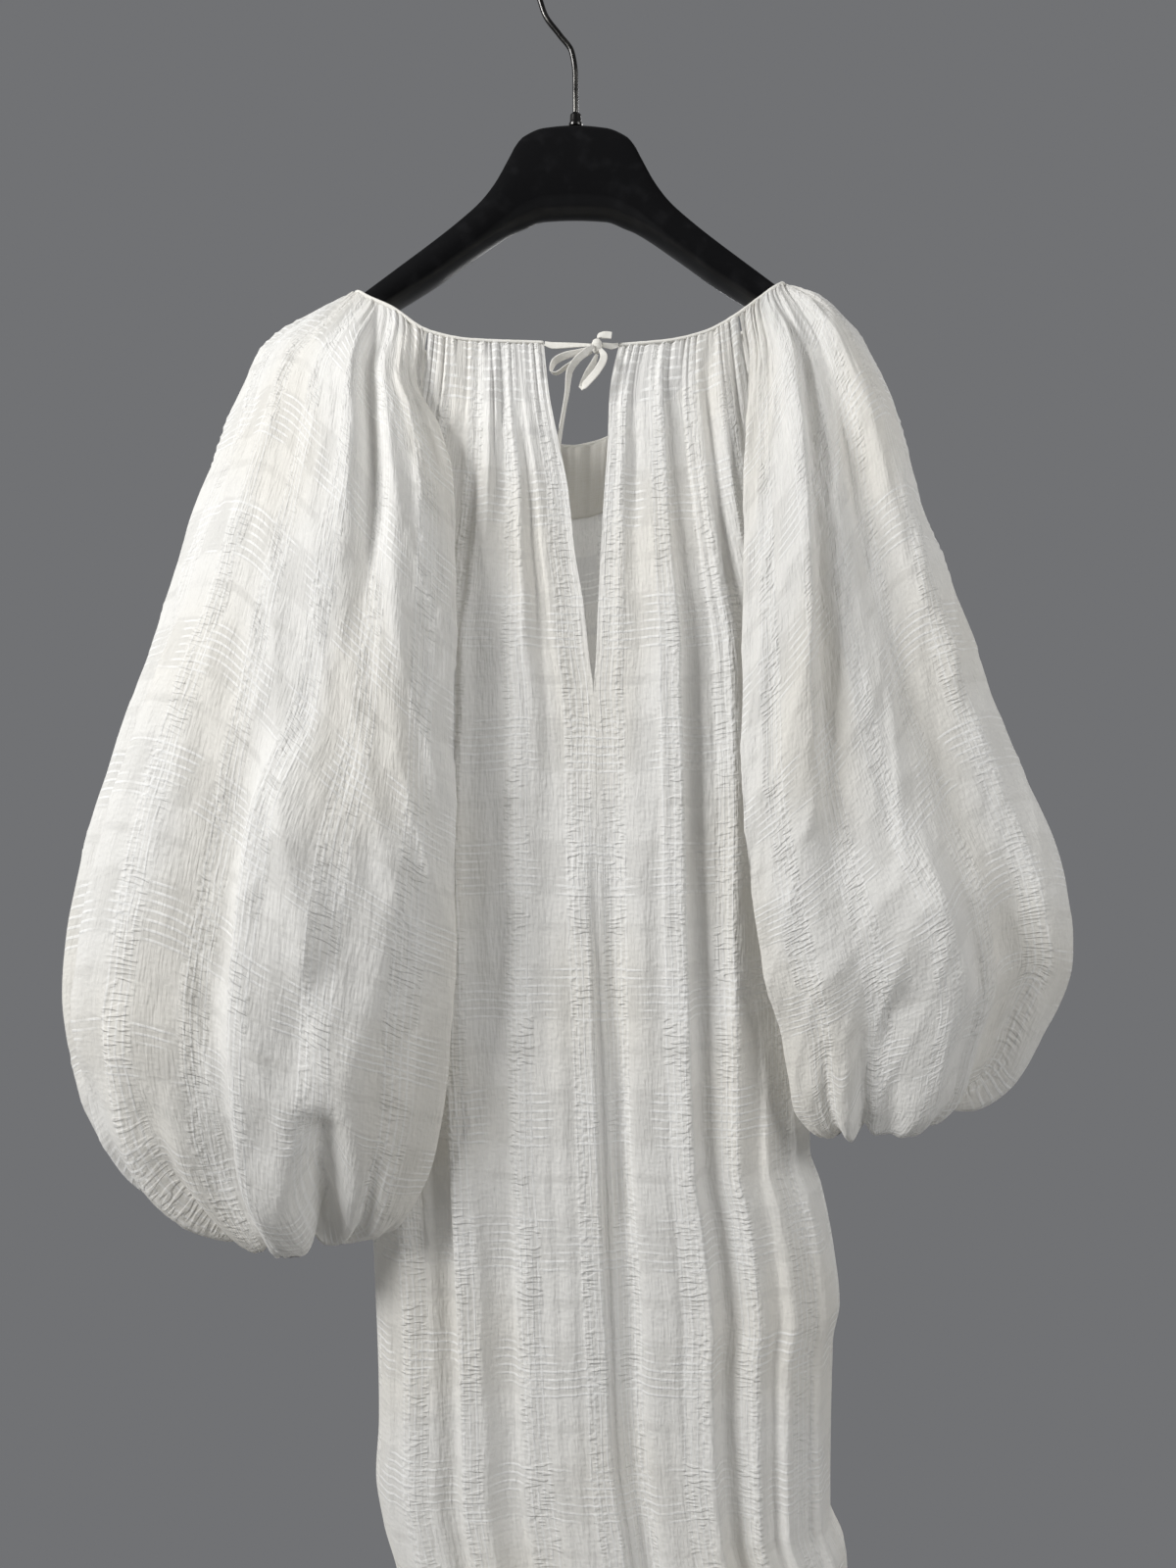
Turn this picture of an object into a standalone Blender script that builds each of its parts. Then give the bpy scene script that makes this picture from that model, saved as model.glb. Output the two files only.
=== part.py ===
"""A long white dress with a gathered neck and raglan balloon sleeves, hung on a black suit hanger.

Metres, +Z up. The origin is inside the top of the hook's bend, where a rail carries the hanger. The
front of the dress looks towards -Y, and left and right are those of someone who faces it. `drop` is
a height below the origin. On every cloth piece `across` runs from 0 to 1 between its two long edges,
and `down` is the distance along the cloth from the neck at the seams, in metres.
"""
import math

import bmesh
import bpy
import numpy as np

WALL = 0.0016  # thickness of every cloth wall
SEAM_GAP = 0.0003  # clearance between two pieces that are sewn together
LAP = WALL + 2 * SEAM_GAP  # between the middles of two cloths that lie on each other
HEM_DROP = 1.66
CLOTH_LENGTH = 1.30  # neck to hem along a seam
UNDERARM = 0.262  # `down` at which the raglan seams end
BINDING_RADIUS = 0.0019
BINDING_GAP = 0.0010  # from the binding to the top edges, which its straight runs come nearer to
BINDING_POINTS = 100
FACING_DEPTH = 0.072
FACING_SHIFT = LAP + 0.0006  # the facing lies this far in front of the back
FACING_INSET = 3  # columns of the back at each side that the facing leaves free
BUTT = 0.0012  # a sleeve's edges stop this far short of the panels' edges at the neck
NECK_BLEND = 0.055  # `down` by which a piece has left the shape of the neck edge

HANGER_HALF_DEPTH = 0.0195
HANGER_SQUARENESS = 0.35  # of its section: 0 is an ellipse and 1 a block
HOOK_RADIUS = 0.033
WIRE_RADIUS = 0.0025
FERRULE_RADIUS = 0.006
FERRULE_TOP_DROP = 0.150

TIE_THICKNESS = 0.0012


def table(columns, *rows):
    """Rows of numbers under named columns, as one array for each name."""
    return dict(zip(columns.split(), np.array(rows, float).T))


# The neck edge, from the left side of the slit round over both arms of the hanger to its right side.
NECK = table(
    "x        y        drop",
    (-0.0262, -0.0500, 0.3695),  # slit
    (-0.0886, -0.0500, 0.3670),
    (-0.1246, -0.0470, 0.3585),  # front raglan seam
    (-0.1571, -0.0370, 0.3350),
    (-0.1790, -0.0265, 0.3220),
    (-0.1905, -0.0185, 0.3145),
    (-0.1960, 0.0000, 0.3158),  # over the left arm
    (-0.1905, 0.0185, 0.3145),
    (-0.1790, 0.0275, 0.3220),
    (-0.1600, 0.0370, 0.3330),
    (-0.1300, 0.0450, 0.3520),  # back raglan seam
    (-0.0700, 0.0560, 0.4060),
    (-0.0050, 0.0600, 0.4290),  # middle of the back
    (0.0650, 0.0565, 0.4040),
    (0.1350, 0.0450, 0.3450),  # back raglan seam
    (0.1580, 0.0370, 0.3260),
    (0.1745, 0.0270, 0.3130),
    (0.1815, 0.0190, 0.3075),
    (0.1850, 0.0000, 0.3078),  # over the right arm
    (0.1815, -0.0190, 0.3075),
    (0.1745, -0.0265, 0.3125),
    (0.1600, -0.0325, 0.3245),
    (0.1392, -0.0430, 0.3427),  # front raglan seam
    (0.1111, -0.0480, 0.3596),
    (0.0779, -0.0500, 0.3680),
    (0.0378, -0.0500, 0.3713),  # slit
)
NECK_ROWS = {  # first and last row of the neck edge that each piece is gathered into
    "front_left": (0, 2),
    "sleeve_left": (2, 10),
    "back": (10, 14),
    "sleeve_right": (22, 14),
    "front_right": (25, 22),
}

# The middle of the front: the two sides of the slit, then the seam below it.
CENTRE = table(
    "drop   left     right   y",
    (0.370, -0.0262, 0.0378, -0.0500),
    (0.411, -0.0219, 0.0295, -0.0520),
    (0.454, -0.0136, 0.0279, -0.0540),
    (0.496, -0.0053, 0.0250, -0.0550),
    (0.545, -0.0003, 0.0221, -0.0560),
    (0.591, 0.0072, 0.0198, -0.0570),
    (0.636, 0.0121, 0.0180, -0.0575),
    (0.664, 0.0158, 0.0163, -0.0580),
    (0.700, 0.0178, 0.0181, -0.0585),
    (0.820, 0.0188, 0.0191, -0.0600),
    (1.055, 0.0254, 0.0257, -0.0620),
    (1.196, 0.0312, 0.0315, -0.0640),
    (1.303, 0.0362, 0.0365, -0.0660),
    (1.406, 0.0494, 0.0497, -0.0680),
    (1.660, 0.0600, 0.0603, -0.0720),
)
# The back: how far it hangs behind the hanger's middle.
REAR = table("drop y", (0.352, 0.0560), (0.430, 0.0600), (0.600, 0.0630), (0.900, 0.0670), (1.660, 0.0760))

# The outer edges of the front and back: the raglan seams down to the underarm, then the side seams.
# Below the underarm the two panels meet, so their x is the same there.
OUTER = {
    "left": table(
        "drop   front_x  front_y   back_x   back_y",
        (0.352, -0.1236, -0.0465, -0.1300, 0.0450),
        (0.400, -0.1290, -0.0480, -0.1390, 0.0450),
        (0.450, -0.1400, -0.0455, -0.1500, 0.0410),
        (0.500, -0.1530, -0.0390, -0.1620, 0.0340),
        (0.560, -0.1690, -0.0270, -0.1760, 0.0210),
        (0.618, -0.1860, -0.0040, -0.1860, 0.0040),
        (0.660, -0.1890, -0.0002, -0.1890, 0.0002),
        (0.750, -0.1920, -0.0002, -0.1920, 0.0002),
        (0.950, -0.1900, -0.0002, -0.1900, 0.0002),
        (1.157, -0.1775, -0.0002, -0.1775, 0.0002),
        (1.295, -0.1731, -0.0002, -0.1731, 0.0002),
        (1.343, -0.1757, -0.0002, -0.1757, 0.0002),
        (1.388, -0.1688, -0.0002, -0.1688, 0.0002),
        (1.437, -0.1560, -0.0002, -0.1560, 0.0002),
        (1.660, -0.1480, -0.0002, -0.1480, 0.0002),
    ),
    "right": table(
        "drop   front_x  front_y   back_x   back_y",
        (0.343, 0.1392, -0.0430, 0.1340, 0.0450),
        (0.385, 0.1455, -0.0470, 0.1430, 0.0450),
        (0.435, 0.1530, -0.0455, 0.1530, 0.0410),
        (0.485, 0.1640, -0.0390, 0.1650, 0.0340),
        (0.545, 0.1800, -0.0270, 0.1810, 0.0210),
        (0.608, 0.1985, -0.0040, 0.1985, 0.0040),
        (0.650, 0.2030, -0.0002, 0.2030, 0.0002),
        (0.750, 0.2050, -0.0002, 0.2050, 0.0002),
        (0.950, 0.2060, -0.0002, 0.2060, 0.0002),
        (1.062, 0.2071, -0.0002, 0.2071, 0.0002),
        (1.099, 0.2184, -0.0002, 0.2184, 0.0002),
        (1.142, 0.2271, -0.0002, 0.2271, 0.0002),
        (1.196, 0.2332, -0.0002, 0.2332, 0.0002),
        (1.230, 0.2271, -0.0002, 0.2271, 0.0002),
        (1.374, 0.2245, -0.0002, 0.2245, 0.0002),
        (1.414, 0.2384, -0.0002, 0.2384, 0.0002),
        (1.660, 0.2460, -0.0002, 0.2460, 0.0002),
    ),
}

# The sleeves, a row for each section. `in` is the edge that hangs over the front of the body and
# `out` the outline away from it. `fore` and `aft` are the pulls that round the front and back walls,
# `seam` is the underarm seam once the sleeve is a tube, and `sag` lowers the front wall's middle.
SLEEVE_ROWS = {
    "left": table(
        "down   in_x     in_y     in_drop out_x    out_y    out_drop fore   aft    seam_x   seam_y   sag",
        (0.000, -0.1250, -0.0480, 0.3600, -0.2150, -0.0010, 0.3080, 0.018, 0.018, -0.1882, 0.0000, 0.000),
        (0.042, -0.1315, -0.0590, 0.4000, -0.2400, -0.0040, 0.3310, 0.034, 0.034, -0.1882, 0.0000, 0.000),
        (0.092, -0.1141, -0.0640, 0.4470, -0.2790, -0.0080, 0.3640, 0.052, 0.048, -0.1882, 0.0000, 0.000),
        (0.162, -0.1000, -0.0740, 0.5170, -0.3050, -0.0100, 0.4250, 0.070, 0.062, -0.1882, 0.0000, 0.000),
        (0.262, -0.0964, -0.0820, 0.6180, -0.3375, -0.0120, 0.5180, 0.086, 0.076, -0.1882, 0.0000, 0.000),
        (0.392, -0.0964, -0.0860, 0.7480, -0.3760, -0.0140, 0.6430, 0.100, 0.088, -0.1960, -0.0060, 0.000),
        (0.540, -0.0982, -0.0880, 0.8800, -0.4260, -0.0150, 0.7950, 0.106, 0.096, -0.2020, -0.0100, 0.000),
        (0.650, -0.1035, -0.0860, 0.9750, -0.4490, -0.0150, 0.9250, 0.106, 0.096, -0.2060, -0.0120, 0.000),
        (0.730, -0.1150, -0.0800, 1.0440, -0.4350, -0.0160, 1.0050, 0.098, 0.090, -0.2060, -0.0120, 0.004),
        (0.790, -0.1330, -0.0720, 1.0900, -0.4050, -0.0180, 1.0700, 0.082, 0.078, -0.2060, -0.0100, 0.012),
        (0.835, -0.1560, -0.0620, 1.1150, -0.3500, -0.0200, 1.1050, 0.064, 0.060, -0.2070, -0.0060, 0.022),
        (0.865, -0.1880, -0.0560, 1.1240, -0.3100, -0.0240, 1.1180, 0.050, 0.048, -0.2140, -0.0040, 0.018),
        (0.890, -0.2140, -0.0600, 1.1000, -0.2940, -0.0280, 1.1030, 0.044, 0.042, -0.2220, -0.0060, 0.006),
        (0.920, -0.2270, -0.0520, 1.0780, -0.2860, -0.0300, 1.0880, 0.040, 0.040, -0.2300, -0.0120, 0.000),
    ),
    "right": table(
        "down   in_x    in_y     in_drop out_x   out_y    out_drop fore   aft    seam_x  seam_y   sag",
        (0.000, 0.1396, -0.0450, 0.3440, 0.2010, -0.0010, 0.2960, 0.018, 0.018, 0.2007, 0.0000, 0.000),
        (0.042, 0.1485, -0.0585, 0.3850, 0.2230, -0.0040, 0.3160, 0.034, 0.034, 0.2007, 0.0000, 0.000),
        (0.092, 0.1437, -0.0620, 0.4330, 0.2518, -0.0080, 0.3500, 0.052, 0.048, 0.2007, 0.0000, 0.000),
        (0.162, 0.1390, -0.0720, 0.5020, 0.2830, -0.0100, 0.4130, 0.068, 0.060, 0.2007, 0.0000, 0.000),
        (0.262, 0.1376, -0.0800, 0.6050, 0.3070, -0.0120, 0.5100, 0.082, 0.074, 0.2007, 0.0000, 0.000),
        (0.392, 0.1368, -0.0840, 0.7350, 0.3445, -0.0140, 0.6320, 0.094, 0.084, 0.2090, -0.0060, 0.000),
        (0.500, 0.1440, -0.0850, 0.8280, 0.3900, -0.0150, 0.7330, 0.098, 0.090, 0.2160, -0.0100, 0.000),
        (0.600, 0.1570, -0.0820, 0.9030, 0.4302, -0.0150, 0.8300, 0.098, 0.090, 0.2230, -0.0120, 0.000),
        (0.665, 0.1690, -0.0770, 0.9480, 0.4371, -0.0150, 0.8850, 0.092, 0.084, 0.2280, -0.0120, 0.002),
        (0.725, 0.1790, -0.0700, 0.9950, 0.4120, -0.0160, 0.9450, 0.080, 0.074, 0.2330, -0.0100, 0.006),
        (0.770, 0.1890, -0.0620, 1.0240, 0.3900, -0.0180, 0.9950, 0.066, 0.062, 0.2380, -0.0060, 0.008),
        (0.805, 0.2060, -0.0570, 1.0380, 0.3500, -0.0210, 1.0190, 0.052, 0.050, 0.2460, -0.0040, 0.006),
        (0.830, 0.2330, -0.0610, 1.0120, 0.3240, -0.0260, 1.0190, 0.044, 0.042, 0.2540, -0.0060, 0.003),
        (0.860, 0.2520, -0.0540, 0.9880, 0.3160, -0.0300, 1.0020, 0.040, 0.040, 0.2620, -0.0120, 0.000),
    ),
}
UNDERSIDE_END = 0.0625  # `across` where a sleeve's underside turns into its front wall
UNDERSIDE_COLUMNS = (0.0, 0.06, 0.15, 0.27, 0.42, 0.60, 0.80)  # shares of the way to there
INNER_TURN = 0.010  # largest depth of the rounded turn at the sleeve's inner edge
FRONT_WALL_END = 0.56  # `across` where the front wall turns into the back wall

# Folds, a row for each. A fold runs from `across` at_top to at_end between its start and end, stands
# out by its depth (a trough is negative), and falls away over before and after, towards 0 and 1.
# `lift` raises a sleeve's bottom edge where the fold meets it.
FOLD_COLUMNS = "at_top at_end start  end    depth   before after  lift"
FOLDS = {
    "front_left": table(
        FOLD_COLUMNS,
        (0.045, 0.040, 0.330, 1.500, 0.0070, 0.030, 0.120, 0.0),  # stands over the middle seam
        (0.170, 0.190, 0.400, 1.500, 0.0060, 0.050, 0.080, 0.0),
        (0.300, 0.330, 0.020, 1.100, 0.0050, 0.060, 0.040, 0.0),
        (0.470, 0.480, 0.000, 0.240, 0.0060, 0.030, 0.045, 0.0),  # pinched fold below the neck
        (0.590, 0.590, 0.140, 1.500, 0.0110, 0.120, 0.022, 0.0),  # long edge beside the sleeve
        (0.660, 0.665, 0.160, 1.500, -0.006, 0.030, 0.060, 0.0),
        (0.830, 0.820, 0.620, 1.500, 0.0080, 0.050, 0.060, 0.0),
        (0.440, 0.430, 0.700, 1.500, -0.005, 0.060, 0.050, 0.0),
    ),
    "front_right": table(
        FOLD_COLUMNS,
        (0.060, 0.070, 0.330, 1.500, -0.006, 0.040, 0.060, 0.0),  # sinks under the middle seam
        (0.200, 0.190, 0.060, 1.500, 0.0060, 0.070, 0.060, 0.0),
        (0.340, 0.430, 0.000, 1.500, 0.0110, 0.110, 0.040, 0.0),  # long edge over the trough
        (0.430, 0.515, 0.100, 1.500, -0.006, 0.045, 0.050, 0.0),
        (0.630, 0.610, 0.000, 1.500, 0.0080, 0.040, 0.080, 0.0),
        (0.800, 0.760, 0.000, 0.300, 0.0050, 0.040, 0.040, 0.0),
        (0.760, 0.740, 0.560, 1.500, 0.0090, 0.030, 0.070, 0.0),
        (0.900, 0.890, 0.600, 1.500, 0.0060, 0.030, 0.040, 0.0),
    ),
    "back": table(
        FOLD_COLUMNS,
        (0.120, 0.100, 0.330, 1.500, 0.0070, 0.040, 0.025, 0.0),
        (0.230, 0.210, 0.060, 1.500, 0.0090, 0.030, 0.055, 0.0),
        (0.340, 0.350, 0.020, 0.800, 0.0060, 0.040, 0.030, 0.0),
        (0.460, 0.440, 0.050, 1.500, 0.0110, 0.055, 0.040, 0.0),
        (0.540, 0.525, 0.150, 1.500, -0.006, 0.035, 0.035, 0.0),
        (0.650, 0.680, 0.040, 1.500, 0.0090, 0.025, 0.060, 0.0),
        (0.770, 0.800, 0.100, 1.500, 0.0070, 0.035, 0.025, 0.0),
        (0.900, 0.910, 0.420, 1.500, 0.0080, 0.025, 0.035, 0.0),
    ),
    "sleeve_left": table(
        FOLD_COLUMNS,
        (0.310, 0.257, 0.000, 0.330, 0.0120, 0.022, 0.090, 0.0),  # outer of the three shoulder folds
        (0.262, 0.215, 0.010, 0.330, -0.010, 0.020, 0.018, 0.0),
        (0.215, 0.165, 0.000, 0.420, 0.0090, 0.035, 0.016, 0.0),
        (0.165, 0.120, 0.020, 0.300, 0.0050, 0.022, 0.018, 0.0),
        (0.305, 0.275, 0.360, 0.860, 0.0240, 0.130, 0.018, 0.0),  # the main ridge
        (0.345, 0.325, 0.400, 0.860, -0.014, 0.020, 0.055, 0.012),
        (0.300, 0.185, 0.360, 0.700, 0.0060, 0.040, 0.018, 0.0),  # slants across the front
        (0.215, 0.205, 0.680, 0.860, -0.006, 0.030, 0.030, 0.012),  # notch between the bottom lobes
        (0.470, 0.480, 0.300, 0.860, 0.0140, 0.080, 0.014, 0.0),  # edge over the outer layer
        (0.505, 0.510, 0.380, 0.860, -0.008, 0.015, 0.030, 0.010),
        (0.640, 0.620, 0.040, 0.820, 0.0140, 0.020, 0.060, 0.0),
        (0.740, 0.760, 0.100, 0.900, 0.0160, 0.070, 0.022, 0.0),
        (0.800, 0.810, 0.200, 0.900, -0.010, 0.025, 0.040, 0.016),
        (0.880, 0.890, 0.020, 0.900, 0.0120, 0.030, 0.040, 0.0),
    ),
    "sleeve_right": table(
        FOLD_COLUMNS,
        (0.258, 0.185, 0.000, 0.560, 0.0130, 0.050, 0.018, 0.0),  # ridge near the body
        (0.292, 0.218, 0.030, 0.560, -0.009, 0.018, 0.028, 0.0),
        (0.375, 0.465, 0.000, 0.520, 0.0130, 0.022, 0.070, 0.0),  # second, running out to the side
        (0.345, 0.405, 0.060, 0.600, -0.008, 0.030, 0.022, 0.0),
        (0.180, 0.165, 0.300, 0.860, 0.0080, 0.030, 0.035, 0.0),
        (0.310, 0.330, 0.480, 0.860, 0.0150, 0.060, 0.022, 0.0),
        (0.245, 0.250, 0.620, 0.820, -0.005, 0.035, 0.035, 0.006),
        (0.500, 0.490, 0.220, 0.820, 0.0120, 0.045, 0.016, 0.0),
        (0.405, 0.410, 0.560, 0.860, -0.009, 0.030, 0.030, 0.010),
        (0.640, 0.650, 0.040, 0.800, 0.0130, 0.020, 0.050, 0.0),
        (0.730, 0.720, 0.100, 0.840, 0.0150, 0.060, 0.022, 0.0),
        (0.795, 0.785, 0.220, 0.840, -0.008, 0.032, 0.040, 0.014),
        (0.890, 0.890, 0.020, 0.840, 0.0100, 0.045, 0.040, 0.0),
    ),
}
# Gathers into the neck binding: how many, how deep and how far down they run.
GATHERS = {
    "front_left": {"count": 14, "depth": 0.0016, "reach": 0.060},
    "front_right": {"count": 14, "depth": 0.0016, "reach": 0.070},
    "back": {"count": 20, "depth": 0.0018, "reach": 0.080},
    "sleeve_left": {"count": 24, "depth": 0.0017, "reach": 0.055},
    "sleeve_right": {"count": 24, "depth": 0.0013, "reach": 0.055},
}
CUFF_GATHERS = {"count": 12, "depth": 0.0016, "reach": 0.045}

SEAM_STOPS = (0.0, 0.015, 0.045, 0.090, 0.150, 0.205, UNDERARM)  # `down` of the rows by the raglan seams
BODY_STOPS = SEAM_STOPS + (0.355, 0.48, 0.62, 0.77, 0.90, 1.02, 1.12, 1.21, CLOTH_LENGTH)
FINE_ROWS = 5  # rows from the neck that keep a column on each side of a gather
SLEEVE_STOPS = {
    "left": SEAM_STOPS + (0.36, 0.46, 0.56, 0.65, 0.72, 0.78, 0.82, 0.85, 0.88, 0.92),
    "right": SEAM_STOPS + (0.35, 0.44, 0.53, 0.61, 0.68, 0.73, 0.77, 0.80, 0.825, 0.86),
}

# The hanger's right half, a row for each section.
HANGER = table(
    "x       top    bottom",
    (0.0000, 0.1612, 0.2430),
    (0.0275, 0.1635, 0.2442),
    (0.0455, 0.1712, 0.2510),
    (0.0520, 0.1785, 0.2535),
    (0.0580, 0.1900, 0.2565),
    (0.0700, 0.2125, 0.2635),
    (0.0830, 0.2300, 0.2720),
    (0.1020, 0.2475, 0.2850),
    (0.1200, 0.2620, 0.2980),
    (0.1600, 0.2925, 0.3225),
    (0.1850, 0.3115, 0.3370),
    (0.2100, 0.3300, 0.3500),
    (0.2220, 0.3385, 0.3530),
    (0.2260, 0.3440, 0.3510),
)
# The hook's wire: up out of the ferrule, out to the left, then the bend that hangs on the rail.
HOOK_STEM = table(
    "x       drop",
    (0.0003, 0.1497),
    (0.0000, 0.1150),
    (-0.0030, 0.0945),
    (-0.0140, 0.0790),
    (-0.0265, 0.0620),
    (-0.0320, 0.0460),
)
HOOK_ARC_DEGREES = (188, -28)

# The ties, a row for each point of their routes. `turn` turns the band's face from the front, in
# degrees, about its own run.
TIE_COLUMNS = "x       y        drop    width   turn"
TIES = {
    "tie_strip_left": table(
        TIE_COLUMNS,
        (-0.0255, -0.0500, 0.3699, 0.0036, 0),
        (-0.0180, -0.0508, 0.3720, 0.0056, 0),
        (-0.0080, -0.0524, 0.3724, 0.0048, 0),
        (0.0050, -0.0545, 0.3729, 0.0034, 0),
        (0.0141, -0.0560, 0.3735, 0.0024, 0),
    ),
    "tie_strip_right": table(
        TIE_COLUMNS,
        (0.0371, -0.0500, 0.3713, 0.0036, 0),
        (0.0310, -0.0520, 0.3730, 0.0052, 0),
        (0.0234, -0.0560, 0.3732, 0.0038, 0),
    ),
    "tie_tail_long": table(
        TIE_COLUMNS,
        (0.0163, -0.0608, 0.3756, 0.0030, 20),
        (0.0095, -0.0628, 0.3815, 0.0062, 20),
        (0.0015, -0.0625, 0.3885, 0.0064, 25),
        (-0.0045, -0.0605, 0.3985, 0.0062, 35),
        (-0.0062, -0.0565, 0.4120, 0.0060, 55),
        (-0.0088, -0.0530, 0.4260, 0.0058, 62),
        (-0.0118, -0.0490, 0.4420, 0.0058, 60),
        (-0.0140, -0.0460, 0.4560, 0.0058, 50),
        (-0.0155, -0.0440, 0.4700, 0.0058, 40),
    ),
    "tie_tail_short": table(
        TIE_COLUMNS,
        (0.0196, -0.0563, 0.3675, 0.0034, 60),
        (0.0218, -0.0564, 0.3654, 0.0056, 20),
        (0.0265, -0.0566, 0.3650, 0.0062, 0),
        (0.0312, -0.0568, 0.3656, 0.0060, 0),
    ),
    "bow_loop_left": table(
        TIE_COLUMNS,
        (0.0141, -0.0574, 0.3760, 0.0026, 10),
        (0.0040, -0.0575, 0.3795, 0.0046, 20),
        (-0.0090, -0.0570, 0.3830, 0.0064, 32),
        (-0.0175, -0.0560, 0.3880, 0.0066, 50),
        (-0.0200, -0.0550, 0.3950, 0.0060, 78),
        (-0.0165, -0.0545, 0.3968, 0.0056, 100),
        (-0.0075, -0.0540, 0.3915, 0.0050, 120),
        (0.0040, -0.0538, 0.3840, 0.0040, 150),
        (0.0146, -0.0543, 0.3784, 0.0024, 170),
    ),
    "bow_loop_right": table(
        TIE_COLUMNS,
        (0.0218, -0.0598, 0.3783, 0.0034, 0),
        (0.0246, -0.0618, 0.3850, 0.0062, 0),
        (0.0196, -0.0622, 0.3960, 0.0064, -8),
        (0.0122, -0.0620, 0.4050, 0.0064, -15),
        (0.0078, -0.0604, 0.4090, 0.0062, -12),
        (0.0066, -0.0572, 0.4092, 0.0060, -8),
        (0.0076, -0.0548, 0.4050, 0.0060, -5),
        (0.0112, -0.0540, 0.3965, 0.0060, -5),
        (0.0160, -0.0552, 0.3880, 0.0050, 0),
        (0.0189, -0.0563, 0.3813, 0.0026, 0),
    ),
}
KNOT = {"centre": (0.0187, -0.0568, -0.3745), "radii": (0.0046, 0.0036, 0.0062)}


def smooth(keys, values, where):
    """Monotone cubic through a table's rows, held level past its ends."""
    gaps = np.diff(keys)
    slopes = np.diff(values) / gaps
    tangents = np.zeros(len(keys))
    same_way = slopes[:-1] * slopes[1:] > 0
    both = np.where(same_way, slopes[:-1] + slopes[1:], 1.0)
    tangents[1:-1] = np.where(same_way, 2 * slopes[:-1] * slopes[1:] / both, 0.0)
    tangents[0], tangents[-1] = slopes[0], slopes[-1]
    place = np.clip(where, keys[0], keys[-1])
    row = np.clip(np.searchsorted(keys, place, side="right") - 1, 0, len(keys) - 2)
    part = (place - keys[row]) / gaps[row]
    return (
        (1 + 2 * part) * (1 - part) ** 2 * values[row]
        + part * (1 - part) ** 2 * gaps[row] * tangents[row]
        + part**2 * (3 - 2 * part) * values[row + 1]
        + part**2 * (part - 1) * gaps[row] * tangents[row + 1]
    )


def ease(value):
    """0 up to 0, 1 from 1 on, and a soft step between."""
    value = np.clip(value, 0.0, 1.0)
    return value * value * (3 - 2 * value)


def mix(first, second, share):
    """First at 0 and second at 1."""
    return first + (second - first) * share


def unit(vectors):
    """Vectors of length 1."""
    return vectors / np.maximum(np.linalg.norm(vectors, axis=-1, keepdims=True), 1e-12)


def route_shares(points):
    """How far along a route each of its own points lies, from 0 to 1."""
    steps = np.concatenate(([0.0], np.cumsum(np.linalg.norm(np.diff(points, axis=0), axis=1))))
    return steps / steps[-1]


def route_points(points, where):
    """Points along a smooth curve through a route's own points, by their share of its length."""
    points = np.asarray(points, float)
    return np.stack([smooth(route_shares(points), column, where) for column in points.T], axis=-1)


NECK_EDGE = np.stack([NECK["x"], NECK["y"], -NECK["drop"]], axis=1)
NECK_LENGTH = np.linalg.norm(np.diff(NECK_EDGE, axis=0), axis=1).sum()


def neck_points(piece, across):
    """Points of the neck edge where a piece is gathered into it."""
    first, last = route_shares(NECK_EDGE)[list(NECK_ROWS[piece])]
    if piece.startswith("sleeve"):
        inwards = math.copysign(BUTT / NECK_LENGTH, last - first)
        first, last = first + inwards, last - inwards
    return route_points(NECK_EDGE, mix(first, last, across))


def seam_drop(start, down):
    """Height below the origin of a point `down` along a seam that starts at the neck."""
    return start + down * (HEM_DROP - start) / CLOTH_LENGTH


def outer_edge(side, face, down):
    """The raglan and side seam of the front or back on one side, as x, y and drop."""
    piece = f"front_{side}" if face == "front" else "back"
    end = 0.0 if (side, face) == ("left", "back") else 1.0
    drop = seam_drop(-neck_points(piece, np.array(end))[2], down)
    edge = OUTER[side]
    return smooth(edge["drop"], edge[face + "_x"], drop), smooth(edge["drop"], edge[face + "_y"], drop), drop


def leave_neck(piece, across, down, hanging):
    """Blends a piece's hanging form into the neck edge at its top."""
    share = 1 - (1 - np.clip(down / NECK_BLEND, 0, 1)) ** 2
    return mix(neck_points(piece, across), hanging, share[..., None])


def front_base(side):
    """A front panel without its folds: across from the middle to the outer edge."""
    piece = f"front_{side}"

    def base(across, down):
        across = np.clip(across, 0, 1)
        start = -neck_points(piece, across)[..., 2]
        drop = seam_drop(start, down)
        outer_x, outer_y, _ = outer_edge(side, "front", down)
        middle_x = smooth(CENTRE["drop"], CENTRE[side], drop)
        middle_y = smooth(CENTRE["drop"], CENTRE["y"], drop)
        round_off = (1 - across**3) ** (1 / 3)
        hanging = np.stack(
            [mix(middle_x, outer_x, across), mix(outer_y, middle_y, round_off), -drop], axis=-1
        )
        return leave_neck(piece, across, down, hanging)

    return base


def back_base(across, down):
    """The back panel without its folds: across from the left side to the right."""
    across = np.clip(across, 0, 1)
    start = -neck_points("back", across)[..., 2]
    drop = seam_drop(start, down)
    left_x, left_y, _ = outer_edge("left", "back", down)
    right_x, right_y, _ = outer_edge("right", "back", down)
    rear = smooth(REAR["drop"], REAR["y"], drop)
    round_off = (1 - np.abs(2 * across - 1) ** 3) ** (1 / 3)
    hanging = np.stack(
        [mix(left_x, right_x, across), mix(mix(left_y, right_y, across), rear, round_off), -drop], axis=-1
    )
    return leave_neck("back", across, down, hanging)


def bezier(share, *controls):
    """A smooth curve from the first control to the last, pulled towards those between."""
    while len(controls) > 1:
        controls = [mix(first, second, share) for first, second in zip(controls, controls[1:])]
    return controls[0]


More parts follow.
